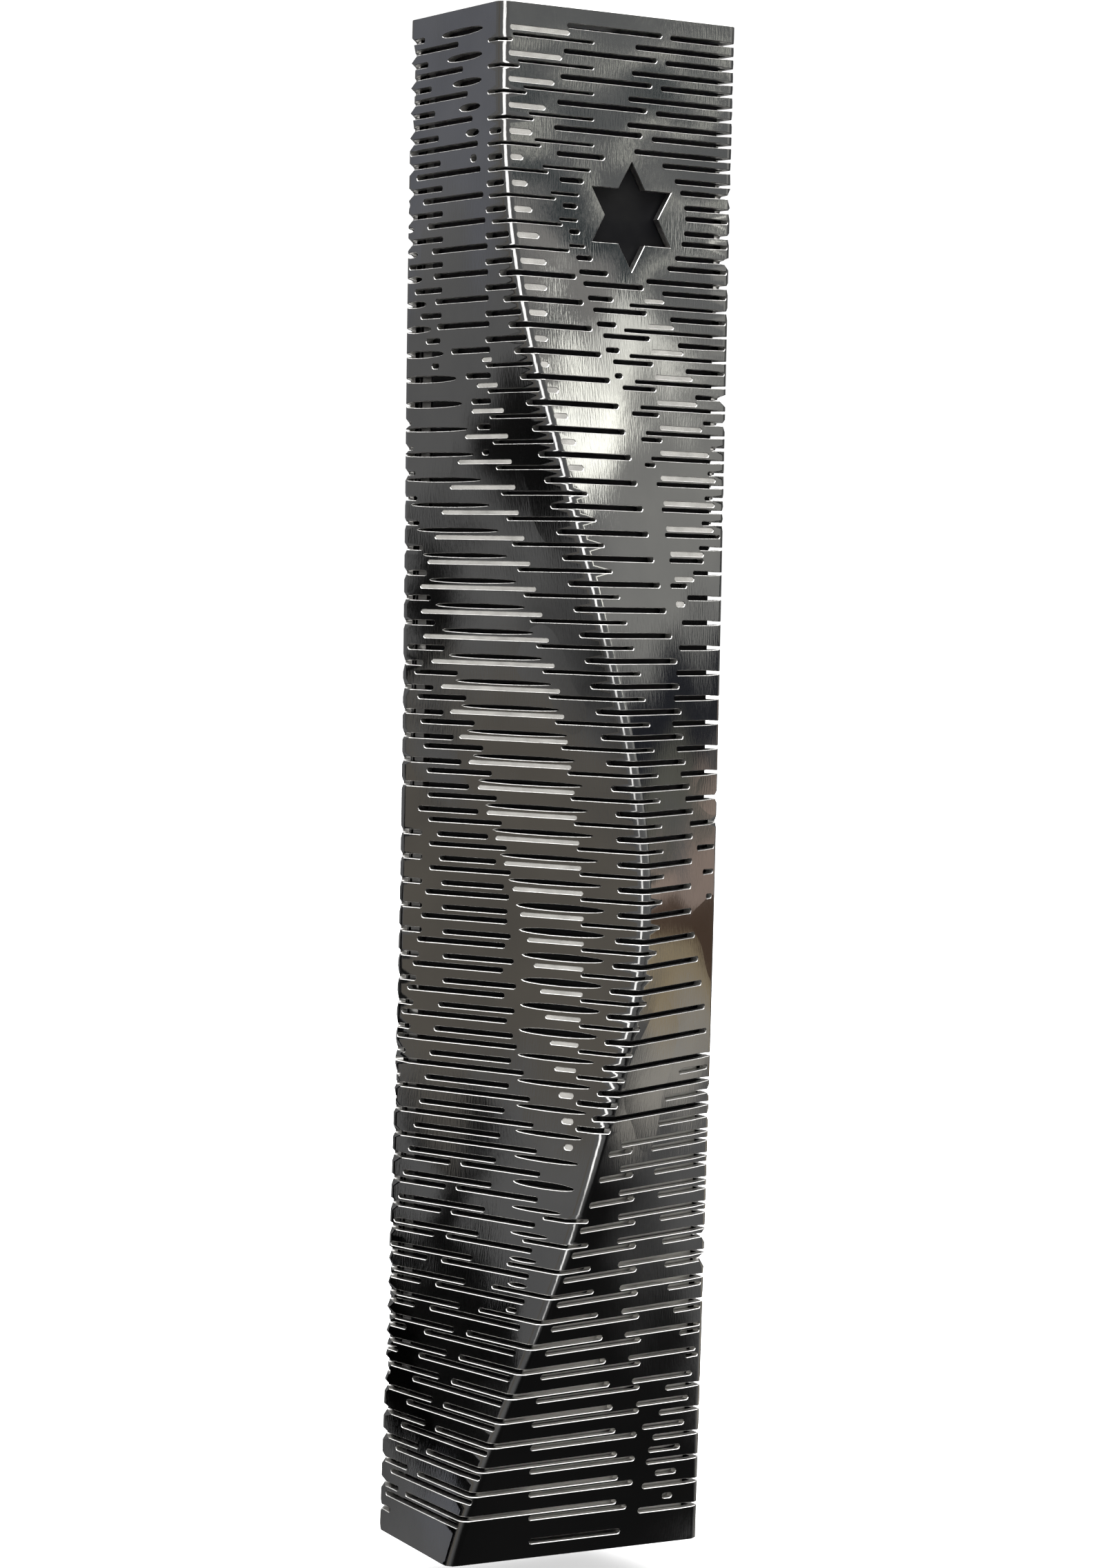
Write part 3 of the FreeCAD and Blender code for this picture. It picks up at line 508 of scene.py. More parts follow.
def face_normals(points: Array, faces: Array) -> Array:
    """Unit normal of each face, from the cross product of its two diagonals or sides."""
    a, b, c = points[faces[:, 0]], points[faces[:, 1]], points[faces[:, 2]]
    out = np.cross(b - a, c - a) if faces.shape[1] == 3 else np.cross(
        c - a, points[faces[:, 3]] - b)
    return out / np.maximum(np.linalg.norm(out, axis=1), 1e-12)[:, None]


def grid_faces(rows: int, columns: int, offset: int = 0) -> Array:
    """Quads of a grid numbered row by row, (rows - 1) by (columns - 1) of them."""
    at = np.arange(rows * columns).reshape(rows, columns) + offset
    return np.stack([at[:-1, :-1], at[:-1, 1:], at[1:, 1:], at[1:, :-1]], axis=2)


def closed_sheet(rows: int, columns: int, kept: Array) -> list[Array]:
    """Faces of a sheet with thickness made of two grids, the outer one first.

    Formula: the outer cells, the inner cells turned over, and a wall quad on every side of a
    kept cell whose neighbour is left out.

    Args:
        rows: rows of points.
        columns: columns of points.
        kept: (rows - 1, columns - 1) mask of the cells that exist.

    Returns:
        Quad arrays of outer side, inner side and rim.
    """
    outer = grid_faces(rows, columns)
    count = rows * columns
    padded = np.pad(kept, 1)
    walls = []
    sides = ((0, 1, padded[:-2, 1:-1]), (1, 2, padded[1:-1, 2:]),
             (2, 3, padded[2:, 1:-1]), (3, 0, padded[1:-1, :-2]))
    for a, b, neighbour in sides:
        edge = outer[kept & ~neighbour]
        walls.append(np.column_stack([edge[:, b], edge[:, a], edge[:, a] + count,
                                      edge[:, b] + count]))
    cells = outer[kept]
    return [cells, cells[:, ::-1] + count, np.vstack(walls)]


def used_only(points: Array, faces: list[Array], *more: Array) -> tuple:
    """Drops the points that no face uses and renumbers the faces."""
    used = np.unique(np.concatenate([f.ravel() for f in faces]))
    number = np.full(len(points), -1)
    number[used] = np.arange(len(used))
    return (points[used], [number[f] for f in faces]) + tuple(m[used] for m in more)


def offset_left(loop: Array, distance: float) -> Array:
    """A closed outline moved to its left by distance, with mitred corners."""
    before, after = loop - np.roll(loop, 1, axis=0), np.roll(loop, -1, axis=0) - loop
    before = before / np.linalg.norm(before, axis=1)[:, None]
    after = after / np.linalg.norm(after, axis=1)[:, None]
    left0 = np.column_stack([-before[:, 1], before[:, 0]])
    left1 = np.column_stack([-after[:, 1], after[:, 0]])
    scale = distance / np.maximum(1 + (left0 * left1).sum(axis=1), 0.4)
    return loop + (left0 + left1) * scale[:, None]


# ---------------------------------------------------------------- cover
@dataclass
class Cover:
    """Slotted steel cover: one closed mesh with bevelled slot edges."""

    plan: FoldedPlan
    pattern: Pattern
    thick: float = 0.8
    rim: float = 0.05
    notch_half: float = 1.8
    notch_z: float = 10.0
    notch_from_front: float = 12.0
    row_step: float = 1.22
    outline_room: float = 0.16
    edge_room: float = 0.3

    def border(self) -> Array:
        """Outline of the flat sheet, anticlockwise, with the lock screw's notch.

        Formula: bottom edge with a U-shaped notch of straight sides and a half circle, right
        edge, top edge, left edge. The right edge follows the folds, which shift with height.
        """
        base = np.zeros(1)
        folds, _ = self.plan.folds(base)
        centre = folds[0, 2] + self.notch_from_front
        arc = np.radians(np.linspace(180, 0, 13))
        low = np.array([-self.plan.flange, *np.arange(-2, centre - 2.2, 1.0)])
        after = np.arange(centre + 2.4, folds[0, 3] + 3.5, 0.5)
        notch = np.vstack([
            [[centre - self.notch_half, 0], [centre - self.notch_half, self.notch_z / 2]],
            np.column_stack([centre + self.notch_half * np.cos(arc),
                             self.notch_z + self.notch_half * np.sin(arc)]),
            [[centre + self.notch_half, self.notch_z / 2], [centre + self.notch_half, 0]]])
        heights = np.linspace(0, self.plan.height, 61)
        right = self.plan.folds(heights)[0][:, 3] + self.plan.flange
        top = np.arange(right[-1] - 0.5, -self.plan.flange + 0.3, -0.5)
        return np.vstack([
            np.column_stack([low, 0 * low]), notch, np.column_stack([after, 0 * after]),
            np.column_stack([right, heights]),
            np.column_stack([top, np.full(len(top), self.plan.height)]),
            np.column_stack([np.full(60, -self.plan.flange), heights[:0:-1]])])

    def fill_points(self, loops: list[Array]) -> Array:
        """Grid points of the panels and folds that keep clear of every outline.

        Args:
            loops: the border and the hole outlines.

        Returns:
            Array (n, 2) of (girth, height).
        """
        heights = np.arange(0.6, self.plan.height - 0.4, self.row_step / 2)
        folds, tangents = self.plan.folds(heights)
        across = [folds + tangents * u for u in np.linspace(-1, 1, 7)]
        bent = np.stack(across, axis=2).reshape(len(heights), -1)
        points = [np.column_stack([bent.ravel(), np.repeat(heights, bent.shape[1])])]
        for z, fold, reach in zip(heights[::3], folds[::3], tangents[::3]):
            lows = np.concatenate([[-self.plan.flange], fold + reach])
            highs = np.concatenate([fold - reach, [fold[3] + self.plan.flange]])
            for low, high in zip(lows, highs):
                spots = np.linspace(low, high, 2 + int((high - low) / 1.6))[1:-1]
                points.append(np.column_stack([spots, np.full(len(spots), z)]))
        points = np.vstack(points)
        right = np.interp(points[:, 1], heights, folds[:, 3] + self.plan.flange)
        free = ((points[:, 0] > -self.plan.flange + self.edge_room)
                & (points[:, 0] < right - self.edge_room))
        for loop in loops[1:]:
            low = loop.min(axis=0) - self.outline_room
            high = loop.max(axis=0) + self.outline_room
            free &= ~((points > low) & (points < high)).all(axis=1)
        centre = folds[0, 2] + self.notch_from_front
        beside = np.abs(points[:, 0] - centre) < self.notch_half + self.edge_room
        return points[free & ~(beside & (points[:, 1] < self.notch_z + 2.2))]

    @staticmethod
    def triangles(flat: Array, ring: Array, following: Array) -> Array:
        """Anticlockwise triangles over all the flat points, keeping the outlines' edges.

        Args:
            flat: (n, 2) points of the flat sheet, the outlines' points first.
            ring: numbers of the outlines' points.
            following: the number of the next point on the same outline.

        Returns:
            Array (m, 3) of point numbers.
        """
        edges = list(zip(ring.tolist(), following.tolist()))
        found = delaunay_2d_cdt([Vector(p) for p in flat.tolist()], edges, [], 0, 1e-6, True)
        if len(found[0]) != len(flat):
            log.warning("sheet outlines touch: %d points became %d", len(flat), len(found[0]))
        number = np.array([ids[0] for ids in found[3]])
        faces = number[np.array([f for f in found[2] if len(f) == 3])]
        side, rise = (flat[faces[:, k]] - flat[faces[:, 0]] for k in (1, 2))
        clockwise = side[:, 0] * rise[:, 1] < side[:, 1] * rise[:, 0]
        faces[clockwise] = faces[clockwise][:, ::-1]
        return faces

    def build(self) -> bpy.types.Object:
        """Triangulates the flat sheet once and folds it into outer side, walls and inside.

        Formula: the outer side is the flat triangulation placed at depth 0 with its outlines
        drawn back by the rim; each outline then goes down to depth rim at its own place and
        straight in to the full thickness, where the same triangulation, turned over, closes
        the mesh.
        """
        slots = self.pattern.slots()
        halves = self.pattern.half_widths(slots)
        loops = [self.border(), self.pattern.star()]
        loops += [self.pattern.outline(slot, half) for slot, half in zip(slots, halves)]
        drawn_back = [offset_left(loop, self.rim) for loop in loops]
        drawn_back[0][:, 1] = drawn_back[0][:, 1].clip(self.rim, self.plan.height - self.rim)
        starts = np.cumsum([0] + [len(loop) for loop in loops])
        ring_count = int(starts[-1])
        ring = np.arange(ring_count)
        following = ring + 1
        following[starts[1:] - 1] = starts[:-1]
        flat = np.vstack(drawn_back + [self.fill_points(loops)])
        faces = self.triangles(flat, ring, following)
        owner = np.full(len(flat), -1)
        owner[:ring_count] = np.repeat(np.arange(len(loops)), np.diff(starts))
        same = (owner[faces[:, 0]] >= 0) & (owner[faces[:, 0]] == owner[faces[:, 1]]) & (
            owner[faces[:, 0]] == owner[faces[:, 2]])
        slot_fill = same & (owner[faces[:, 0]] > 1)
        centres = flat[faces].mean(axis=1)
        outside = same & (owner[faces[:, 0]] == 0) & ~inside(centres, drawn_back[0])
        in_star = same & (owner[faces[:, 0]] == 1) & inside(centres, drawn_back[1])
        etched = np.array([False, False] + [slot.cut is Cut.ETCHED for slot in slots])
        floors = faces[slot_fill & etched[owner[faces[:, 0]]]]
        faces = faces[~(slot_fill | outside | in_star)]

        true = np.vstack(loops + [flat[ring_count:]])
        layers = [self.plan.place(flat[:, 0], flat[:, 1], 0.0),
                  self.plan.place(true[:ring_count, 0], true[:ring_count, 1], self.rim),
                  self.plan.place(true[:, 0], true[:, 1], self.thick)]
        mid, inner = len(flat), len(flat) + ring_count
        bevel = np.column_stack([following, ring, ring + mid, following + mid])
        through = ~etched[owner[:ring_count]]
        wall = np.column_stack([following + mid, ring + mid, ring + inner,
                                following + inner])[through]
        inside_faces = np.vstack([faces, floors])[:, ::-1]
        points = to_metres(np.vstack(layers), self.plan)
        normals = self.plan.normals(flat[:, 0], flat[:, 1])
        loops_of = [normals[faces.ravel()], -normals[inside_faces.ravel()],
                    normals[floors.ravel()],
                    np.repeat(face_normals(points, bevel), 4, axis=0),
                    np.repeat(face_normals(points, wall), 4, axis=0)]
        uv = np.vstack([flat, true[:ring_count], true]) / self.plan.height
        piece = new_piece("steel_cover", points,
                          [faces, inside_faces + inner, floors + mid, bevel, wall], uv,
                          np.vstack(loops_of))
        cut = np.zeros(len(piece.data.polygons), dtype=np.int32)
        cut[len(faces) + len(inside_faces):] = 1
        cut[len(faces) + len(inside_faces):][:len(floors)] = 2
        dress(piece, Finish.POLISHED_STEEL, Finish.CUT_EDGE, Finish.ETCHED_STEEL)
        piece.data.polygons.foreach_set("material_index", cut)
        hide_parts("cover")
        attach(piece, "cover_body")
        log.info("steel_cover: %d slots, %d triangles", len(slots),
                 len(faces) + len(inside_faces) + len(floors) + 2 * (len(bevel) + len(wall)))
        return piece


def to_metres(points: Array, plan: FoldedPlan) -> Array:
    """Millimetres above the case's bottom to metres about its middle."""
    return (points - (0, 0, plan.height / 2)) * MM


def inside(points: Array, loop: Array) -> Array:
    """Which points lie inside a closed outline, by counting its crossings of a ray."""
    x, y = points[:, 0:1], points[:, 1:2]
    a, b = loop, np.roll(loop, -1, axis=0)
    crosses = (a[:, 1] > y) != (b[:, 1] > y)
    at = a[:, 0] + (y - a[:, 1]) * (b[:, 0] - a[:, 0]) / np.where(
        b[:, 1] == a[:, 1], 1e-9, b[:, 1] - a[:, 1])
    return ((crosses & (x < at)).sum(axis=1) % 2).astype(bool)


# ---------------------------------------------------------------- liner
@dataclass
class Liner:
    """Dark inner sheet with light patches painted behind some of the slots, a painted highlight
    standing in for their lit cut faces.
    """

    plan: FoldedPlan
    pattern: Pattern
    outer: float = 1.1
    thick: float = 0.5
    bottom: float = 1.8
    top: float = 148.3
    short: float = 3.6
    row_step: float = 0.3
    lug_side: float = 5.0
    lug_front: float = 12.5
    lug_top: float = 18.0
    # Half height and extra length of the light patches painted behind slots, a painted
    # highlight for lit cut faces.
    painted_light_half: float = 0.3
    painted_light_longer: float = 0.6

    def build(self) -> bpy.types.Object:
        """Grid over (height, girth) at two depths, without the cells round the lug.

        Formula: each row has columns spread evenly over every panel and closer on the folds;
        the light-patch attribute is 1 on the outer side behind slots cut onto the painted
        highlight, a light patch standing in for their lit cut faces.
        """
        heights = np.arange(self.bottom, self.top + 0.01, self.row_step)
        heights[-1] = self.top
        folds, tangents = self.plan.folds(heights)
        low, high = folds - tangents, folds + tangents
        spans = [(np.full(len(heights), self.short), low[:, 1], 12),
                 (low[:, 1], high[:, 1], 7), (high[:, 1], low[:, 2], 12),
                 (low[:, 2], high[:, 2], 7), (high[:, 2], folds[:, 3] - self.short, 12)]
        columns = [a[:, None] + (b - a)[:, None] * np.linspace(0, 1, n)[None, (i > 0):]
                   for i, (a, b, n) in enumerate(spans)]
        girth = np.hstack(columns)
        rows, count = girth.shape
        z = np.repeat(heights, count)
        sides = [self.plan.place(girth.ravel(), z, depth)
                 for depth in (self.outer, self.outer + self.thick)]
        middle = sides[0].reshape(rows, count, 3)[:-1, :-1]
        round_lug = ((middle[..., 0] > self.plan.width / 2 - self.lug_side)
                     & (middle[..., 1] > -self.lug_front)
                     & (middle[..., 2] < self.lug_top))
        faces = closed_sheet(rows, count, ~round_lug)
        # Painted highlight: 1 behind some slots on the outer side, a light patch standing in
        # for lit cut faces.
        bare = np.concatenate([self.painted_light_mask(girth.ravel(), z), np.zeros(len(z))])
        uv = np.tile(np.column_stack([girth.ravel(), z]) / self.plan.height, (2, 1))
        points = to_metres(np.vstack(sides), self.plan)
        points, faces, bare, uv = used_only(points, faces, bare, uv)
        piece = new_piece("dark_liner", points, faces, uv)
        piece.data.set_sharp_from_angle(angle=SHARP_EDGE)
        layer = piece.data.attributes.new("bare", "FLOAT", "POINT")
        layer.data.foreach_set("value", bare.astype(np.float32))
        dress(piece, Finish.BLACK_LACQUER)
        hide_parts("liner")
        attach(piece, "cover_body")
        log.info("dark_liner: %d rows by %d columns", rows, count)
        return piece

    def painted_light_mask(self, girth: Array, z: Array) -> Array:
        """Painted highlight on the liner at each point: 1 behind slots beyond the crease that
        are cut onto it, a light patch standing in for their lit cut faces.
        """
        bare = np.zeros_like(girth)
        crease = self.plan.crease_reach(z)
        for slot in self.pattern.slots():
            if slot.cut is Cut.BARE:
                near = ((np.abs(z - slot.z) < self.painted_light_half) & (girth > crease)
                        & (girth > slot.start - self.painted_light_longer)
                        & (girth < slot.end + self.painted_light_longer))
                bare[near] = 1.0
        return bare


# ---------------------------------------------------------------- scroll in its tube
@dataclass
class Scroll:
    """Rolled parchment and its paper band, inside the clear tube."""

    core: float = 1.3
    rim: float = 4.6
    thick: float = 0.22
    pitch: float = 0.55
    flutter: float = 0.12
    band_thick: float = 0.08
    band_turns: float = 1.12

    def build(self) -> list[bpy.types.Object]:
        """Makes the roll and the band from the CAD pieces' own boxes."""
        low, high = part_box("scroll")
        centre = (low + high) / 2 / MM
        return [self.roll(centre, low.z / MM, high.z / MM), self.band(centre)]

    @staticmethod
    def curl(name: str, centre: Vector, angle: Array, radius: Array, thick: float,
             heights: Array, uv: Array) -> bpy.types.Object:
        """A curled sheet with thickness, not yet dressed.

        Args:
            name: piece name.
            centre: a point of the curl's axis, mm.
            angle: turn at each station round the curl, radians.
            radius: the inner side's radius at each station, mm.
            thick: sheet thickness, mm.
            heights: (stations, rows) heights of the points, mm.
            uv: coordinates of each point along and up the sheet.

        Returns:
            The piece.
        """
        rows = heights.shape[1]
        sides = [np.column_stack([np.repeat(centre.x + side * np.cos(angle), rows),
                                  np.repeat(centre.y + side * np.sin(angle), rows),
                                  heights.ravel()]) for side in (radius + thick, radius)]
        faces = closed_sheet(len(angle), rows, np.ones((len(angle) - 1, rows - 1), dtype=bool))
        piece = new_piece(name, np.vstack(sides) * MM, [f[:, ::-1] for f in faces],
                          np.tile(uv, (2, 1)))
        piece.data.set_sharp_from_angle(angle=SHARP_EDGE)
        return piece

    def roll(self, centre: Vector, low: float, high: float) -> bpy.types.Object:
        """Spiral sheet with slightly uneven ends.

        Formula: the radius grows by the pitch each turn, both sides of the sheet follow it,
        and the height of each end wanders as two slow waves of the turn angle.

        Args:
            centre: middle of the roll, mm.
            low: height of its lower end, mm.
            high: height of its upper end, mm.

        Returns:
            The roll.
        """
        turns = (self.rim - self.core - self.thick) / self.pitch
        u = np.linspace(0, 1, int(turns * 40))
        v = np.linspace(0, 1, 25)
        angle = 2 * math.pi * turns * u
        wave = self.flutter * (np.sin(angle * 0.61) + np.sin(angle * 1.7 + 1.0)) / 2
        foot = low + self.flutter + wave
        head = high - self.flutter + wave * 0.8
        heights = foot[:, None] + (head - foot)[:, None] * v[None, :]
        radius = self.core + self.pitch * turns * u
        uv = np.column_stack([np.repeat(angle / 20, len(v)), heights.ravel() / 60])
        piece = self.curl("parchment_roll", centre, angle, radius, self.thick, heights, uv)
        dress(piece, Finish.PARCHMENT)
        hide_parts("scroll")
        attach(piece, "scroll_body")
        log.info("parchment_roll: %.1f turns", turns)
        return piece

    def band(self, centre: Vector) -> bpy.types.Object:
        """Paper band: a thin ring whose loose end lies over its start and whose edges are cut.

        Formula: the radius is the roll's plus a small rise over the last sixth of the turn.
        """
        low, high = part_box("scroll_band")
        outer = (high.x - low.x) / 2 / MM
        u = np.linspace(0, 1, 97)
        v = np.linspace(0, 1, 9)
        angle = 2 * math.pi * self.band_turns * u
        radius = outer - 0.24 + 0.14 * np.clip((u - 0.8) / 0.12, 0, 1)
        z = (low.z + (high.z - low.z) * v) / MM
        heights = np.tile(z, (len(u), 1))
        uv = np.column_stack([np.repeat(angle / 8, len(v)), heights.ravel() / 20])
        piece = self.curl("paper_band", centre, angle, radius, self.band_thick, heights, uv)
        dress(piece, Finish.BAND_PAPER)
        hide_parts("scroll_band")
        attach(piece, "scroll_body")
        log.info("paper_band: outer radius %.2f mm", outer)
        return piece


# ---------------------------------------------------------------- finishes
def add_node(tree: bpy.types.NodeTree, kind: str, values: dict) -> bpy.types.Node:
    """A new node of a kind, with constants on its named inputs."""
    node = tree.nodes.new(kind)
    set_inputs(node, values)
    return node


def set_inputs(node: bpy.types.Node, values: dict) -> None:
    """Puts constants on a node's own named inputs."""
    for label, value in values.items():
        node.inputs[label].default_value = value


def plain_material(name: str, values: dict) -> bpy.types.Material:
    """A material of one Principled shader with constants."""
    material = bpy.data.materials.new(name)
    material.use_nodes = True
    set_inputs(material.node_tree.nodes["Principled BSDF"], values)
    return material


@dataclass(frozen=True)
class FinishSpec:
    """What a finish looks like: two tones, a roughness range and the scale of its texture."""

    light: Colour
    dark: Colour
    metallic: float = 0.0
    rough: tuple[float, float] = (0.3, 0.5)
    grain: Colour = (40.0, 40.0, 40.0)
    bump: float = 0.05
    mottle: float = 60.0
    on_sheet: bool = False
    waviness: float = 0.0
    specular: float = 0.5
    transmission: float = 0.0
    ior: float = 1.5


class Finish(Enum):
    """The finishes of the case's pieces."""

    POLISHED_STEEL = FinishSpec((0.60, 0.595, 0.585), (0.47, 0.47, 0.475), 1.0, (0.07, 0.15),
                                (900.0, 120.0, 1.0), 0.05, 9.0, on_sheet=True, waviness=0.45)
    CUT_EDGE = FinishSpec((0.88, 0.87, 0.85), (0.66, 0.65, 0.63), 1.0, (0.28, 0.45),
                          (500.0, 500.0, 1.0), 0.15, 90.0, on_sheet=True)
    ETCHED_STEEL = FinishSpec((0.34, 0.33, 0.31), (0.22, 0.215, 0.20), 0.15, (0.5, 0.7),
                              (700.0, 700.0, 1.0), 0.25, 60.0, on_sheet=True)
    BLACK_LACQUER = FinishSpec((0.008, 0.008, 0.008), (0.003, 0.003, 0.004), 0.0, (0.45, 0.7),
                               (60.0, 60.0, 1.0), 0.03, 20.0, on_sheet=True, specular=0.08)
    PLATE_STEEL = FinishSpec((0.58, 0.58, 0.57), (0.42, 0.42, 0.43), 1.0, (0.28, 0.42),
                             (60.0, 60.0, 4000.0), 0.04, 80.0)
    SPRING_STEEL = FinishSpec((0.46, 0.46, 0.47), (0.30, 0.30, 0.32), 1.0, (0.2, 0.34),
                              (90.0, 90.0, 3000.0), 0.03, 150.0)
    RIVET_STEEL = FinishSpec((0.66, 0.65, 0.63), (0.45, 0.45, 0.44), 1.0, (0.25, 0.4),
                             (900.0, 900.0, 900.0), 0.05, 300.0)
    ZINC_STEEL = FinishSpec((0.62, 0.64, 0.68), (0.40, 0.42, 0.46), 1.0, (0.2, 0.38),
                            (700.0, 700.0, 700.0), 0.05, 250.0)
    WHITE_NYLON = FinishSpec((0.80, 0.79, 0.75), (0.70, 0.69, 0.65), 0.0, (0.38, 0.5),
                             (400.0, 400.0, 400.0), 0.03, 150.0)
    CLEAR_PLASTIC = FinishSpec((0.97, 0.98, 0.98), (0.94, 0.96, 0.96), 0.0, (0.02, 0.06),
                               (30.0, 30.0, 900.0), 0.01, 60.0, transmission=1.0, ior=1.49)
    BLACK_PLASTIC = FinishSpec((0.025, 0.025, 0.026), (0.012, 0.012, 0.013), 0.0, (0.3, 0.45),
                               (900.0, 900.0, 900.0), 0.08, 200.0)
    PARCHMENT = FinishSpec((0.78, 0.66, 0.45), (0.62, 0.49, 0.30), 0.0, (0.6, 0.8),
                           (6.0, 90.0, 1.0), 0.25, 6.0, on_sheet=True)
    BAND_PAPER = FinishSpec((0.86, 0.84, 0.78), (0.76, 0.73, 0.66), 0.0, (0.6, 0.75),
                            (60.0, 60.0, 1.0), 0.2, 10.0, on_sheet=True)


class FinishShop:
    """Builds the shared node groups and each material once."""

    def __init__(self) -> None:
        """Starts with the two groups and no materials."""
        self.mottle = self.mottle_group()
        self.grain = self.grain_group()
        self.made: dict[Finish, bpy.types.Material] = {}

    @staticmethod
    def new_group(name: str, inputs: dict[str, str], outputs: dict[str, str]):
        """An empty shader node group with named sockets.

        Args:
            name: group name.
            inputs: socket name to socket type.
            outputs: socket name to socket type.

        Returns:
            The group, its input node and its output node.
        """
        group = bpy.data.node_groups.new(name, "ShaderNodeTree")
        for side, sockets in (("INPUT", inputs), ("OUTPUT", outputs)):
            for label, kind in sockets.items():
                group.interface.new_socket(label, in_out=side, socket_type=kind)
        return group, group.nodes.new("NodeGroupInput"), group.nodes.new("NodeGroupOutput")

    def mottle_group(self) -> bpy.types.NodeTree:
        """Soft uneven patches: noise read between two limits."""
        group, inputs, outputs = self.new_group(
            "handled_patches",
            {"Vector": "NodeSocketVector", "Scale": "NodeSocketFloat",
             "Detail": "NodeSocketFloat"}, {"Patch": "NodeSocketFloat"})
        broad = add_node(group, "ShaderNodeTexNoise", {"Roughness": 0.55})
        reach = add_node(group, "ShaderNodeMapRange", {"From Min": 0.32, "From Max": 0.68})
        link = group.links.new
        for label in ("Vector", "Scale", "Detail"):
            link(inputs.outputs[label], broad.inputs[label])
        link(broad.outputs[0], reach.inputs["Value"])
        link(reach.outputs[0], outputs.inputs["Patch"])
        return group

    def grain_group(self) -> bpy.types.NodeTree:
        """Fine grain: noise on stretched coordinates."""
        group, inputs, outputs = self.new_group(
            "surface_grain", {"Vector": "NodeSocketVector", "Stretch": "NodeSocketVector"},
            {"Grain": "NodeSocketFloat"})
        stretch = group.nodes.new("ShaderNodeVectorMath")
        stretch.operation = "MULTIPLY"
        fine = add_node(group, "ShaderNodeTexNoise", {"Scale": 1.0, "Detail": 3.0})
        link = group.links.new
        link(inputs.outputs["Vector"], stretch.inputs[0])
        link(inputs.outputs["Stretch"], stretch.inputs[1])
        link(stretch.outputs[0], fine.inputs["Vector"])
        link(fine.outputs[0], outputs.inputs["Grain"])
        return group

    def material(self, finish: Finish) -> bpy.types.Material:
        """The material of a finish, made the first time it is asked for."""
        if finish not in self.made:
            self.made[finish] = self.build(finish.name.lower(), finish.value)
        return self.made[finish]

    def build(self, name: str, spec: FinishSpec) -> bpy.types.Material:
        """Nodes of one finish: tones by patches, roughness by patches and grain, fine bump.

        Args:
            name: material name.
            spec: the finish.

        Returns:
            The material.
        """
        material = plain_material(name, {
            "Metallic": spec.metallic, "IOR": spec.ior,
            "Transmission Weight": spec.transmission, "Specular IOR Level": spec.specular})
        tree, link = material.node_tree, material.node_tree.links.new
        nodes, shader = tree.nodes, tree.nodes["Principled BSDF"]
        place = nodes.new("ShaderNodeTexCoord").outputs["UV" if spec.on_sheet else "Object"]
        patch, grain = nodes.new("ShaderNodeGroup"), nodes.new("ShaderNodeGroup")
        patch.node_tree, grain.node_tree = self.mottle, self.grain
        set_inputs(patch, {"Scale": spec.mottle, "Detail": 5.0})
        set_inputs(grain, {"Stretch": spec.grain})
        link(place, patch.inputs["Vector"])
        link(place, grain.inputs["Vector"])
        tones = self.mix(material, "RGBA", patch.outputs["Patch"], (*spec.dark, 1.0),
                         (*spec.light, 1.0))
        both = nodes.new("ShaderNodeMath")
        both.operation = "MULTIPLY"
        link(patch.outputs["Patch"], both.inputs[0])
        link(grain.outputs["Grain"], both.inputs[1])
        rough = add_node(tree, "ShaderNodeMapRange",
                         {"To Min": spec.rough[0], "To Max": spec.rough[1]})
        link(both.outputs[0], rough.inputs["Value"])
        bump = add_node(tree, "ShaderNodeBump", {"Strength": spec.bump, "Distance": 0.0002})
        link(grain.outputs["Grain"], bump.inputs["Height"])
        if spec.waviness:
            slow = nodes.new("ShaderNodeGroup")
            slow.node_tree = self.mottle
            set_inputs(slow, {"Scale": 11.0, "Detail": 0.6})
            wave = add_node(tree, "ShaderNodeBump",
                            {"Strength": spec.waviness, "Distance": 0.0006})
            link(place, slow.inputs["Vector"])
            link(slow.outputs["Patch"], wave.inputs["Height"])
            link(wave.outputs[0], bump.inputs["Normal"])
        link(tones, shader.inputs["Base Color"])
        link(rough.outputs[0], shader.inputs["Roughness"])
        link(bump.outputs[0], shader.inputs["Normal"])
        # The liner's lacquer carries the painted highlight patches.
        if name == "black_lacquer":
            self.mix_in_painted_light(material, tones, rough.outputs[0])
        return material

    @staticmethod
    def mix(material: bpy.types.Material, kind: str, factor, low, high):
        """A Mix node between two constants or sockets; returns its result socket."""
        node = material.node_tree.nodes.new("ShaderNodeMix")
        node.data_type = kind
        letters = {"RGBA": (6, 7, 2), "FLOAT": (2, 3, 0)}[kind]
        material.node_tree.links.new(factor, node.inputs[0])
        for index, value in zip(letters[:2], (low, high)):
            if isinstance(value, bpy.types.NodeSocket):
                material.node_tree.links.new(value, node.inputs[index])
            else:
                node.inputs[index].default_value = value
        return node.outputs[letters[2]]

    def mix_in_painted_light(self, material: bpy.types.Material, tones, rough) -> None:
        """Mixes the lacquer to a painted highlight, a light metal colour standing in for lit
        cut faces, by the sheet's own light-patch attribute.
        """
        nodes, link = material.node_tree.nodes, material.node_tree.links.new
        shader = nodes["Principled BSDF"]
        bare = nodes.new("ShaderNodeAttribute")
        bare.attribute_name = "bare"
        mask = bare.outputs["Fac"]
        # Painted highlight colour: light metal standing in for lit cut faces seen through the
        # slots.
        link(self.mix(material, "RGBA", mask, tones, (0.80, 0.78, 0.74, 1.0)),
             shader.inputs["Base Color"])
        link(self.mix(material, "FLOAT", mask, rough, 0.5), shader.inputs["Roughness"])
        link(self.mix(material, "FLOAT", mask, 0.0, 0.7), shader.inputs["Metallic"])


SHOP = FinishShop()


def dress(piece: bpy.types.Object, *finishes: Finish) -> None:
    """Gives a new piece its materials, one slot for each finish."""
    for finish in finishes:
        piece.data.materials.append(SHOP.material(finish))


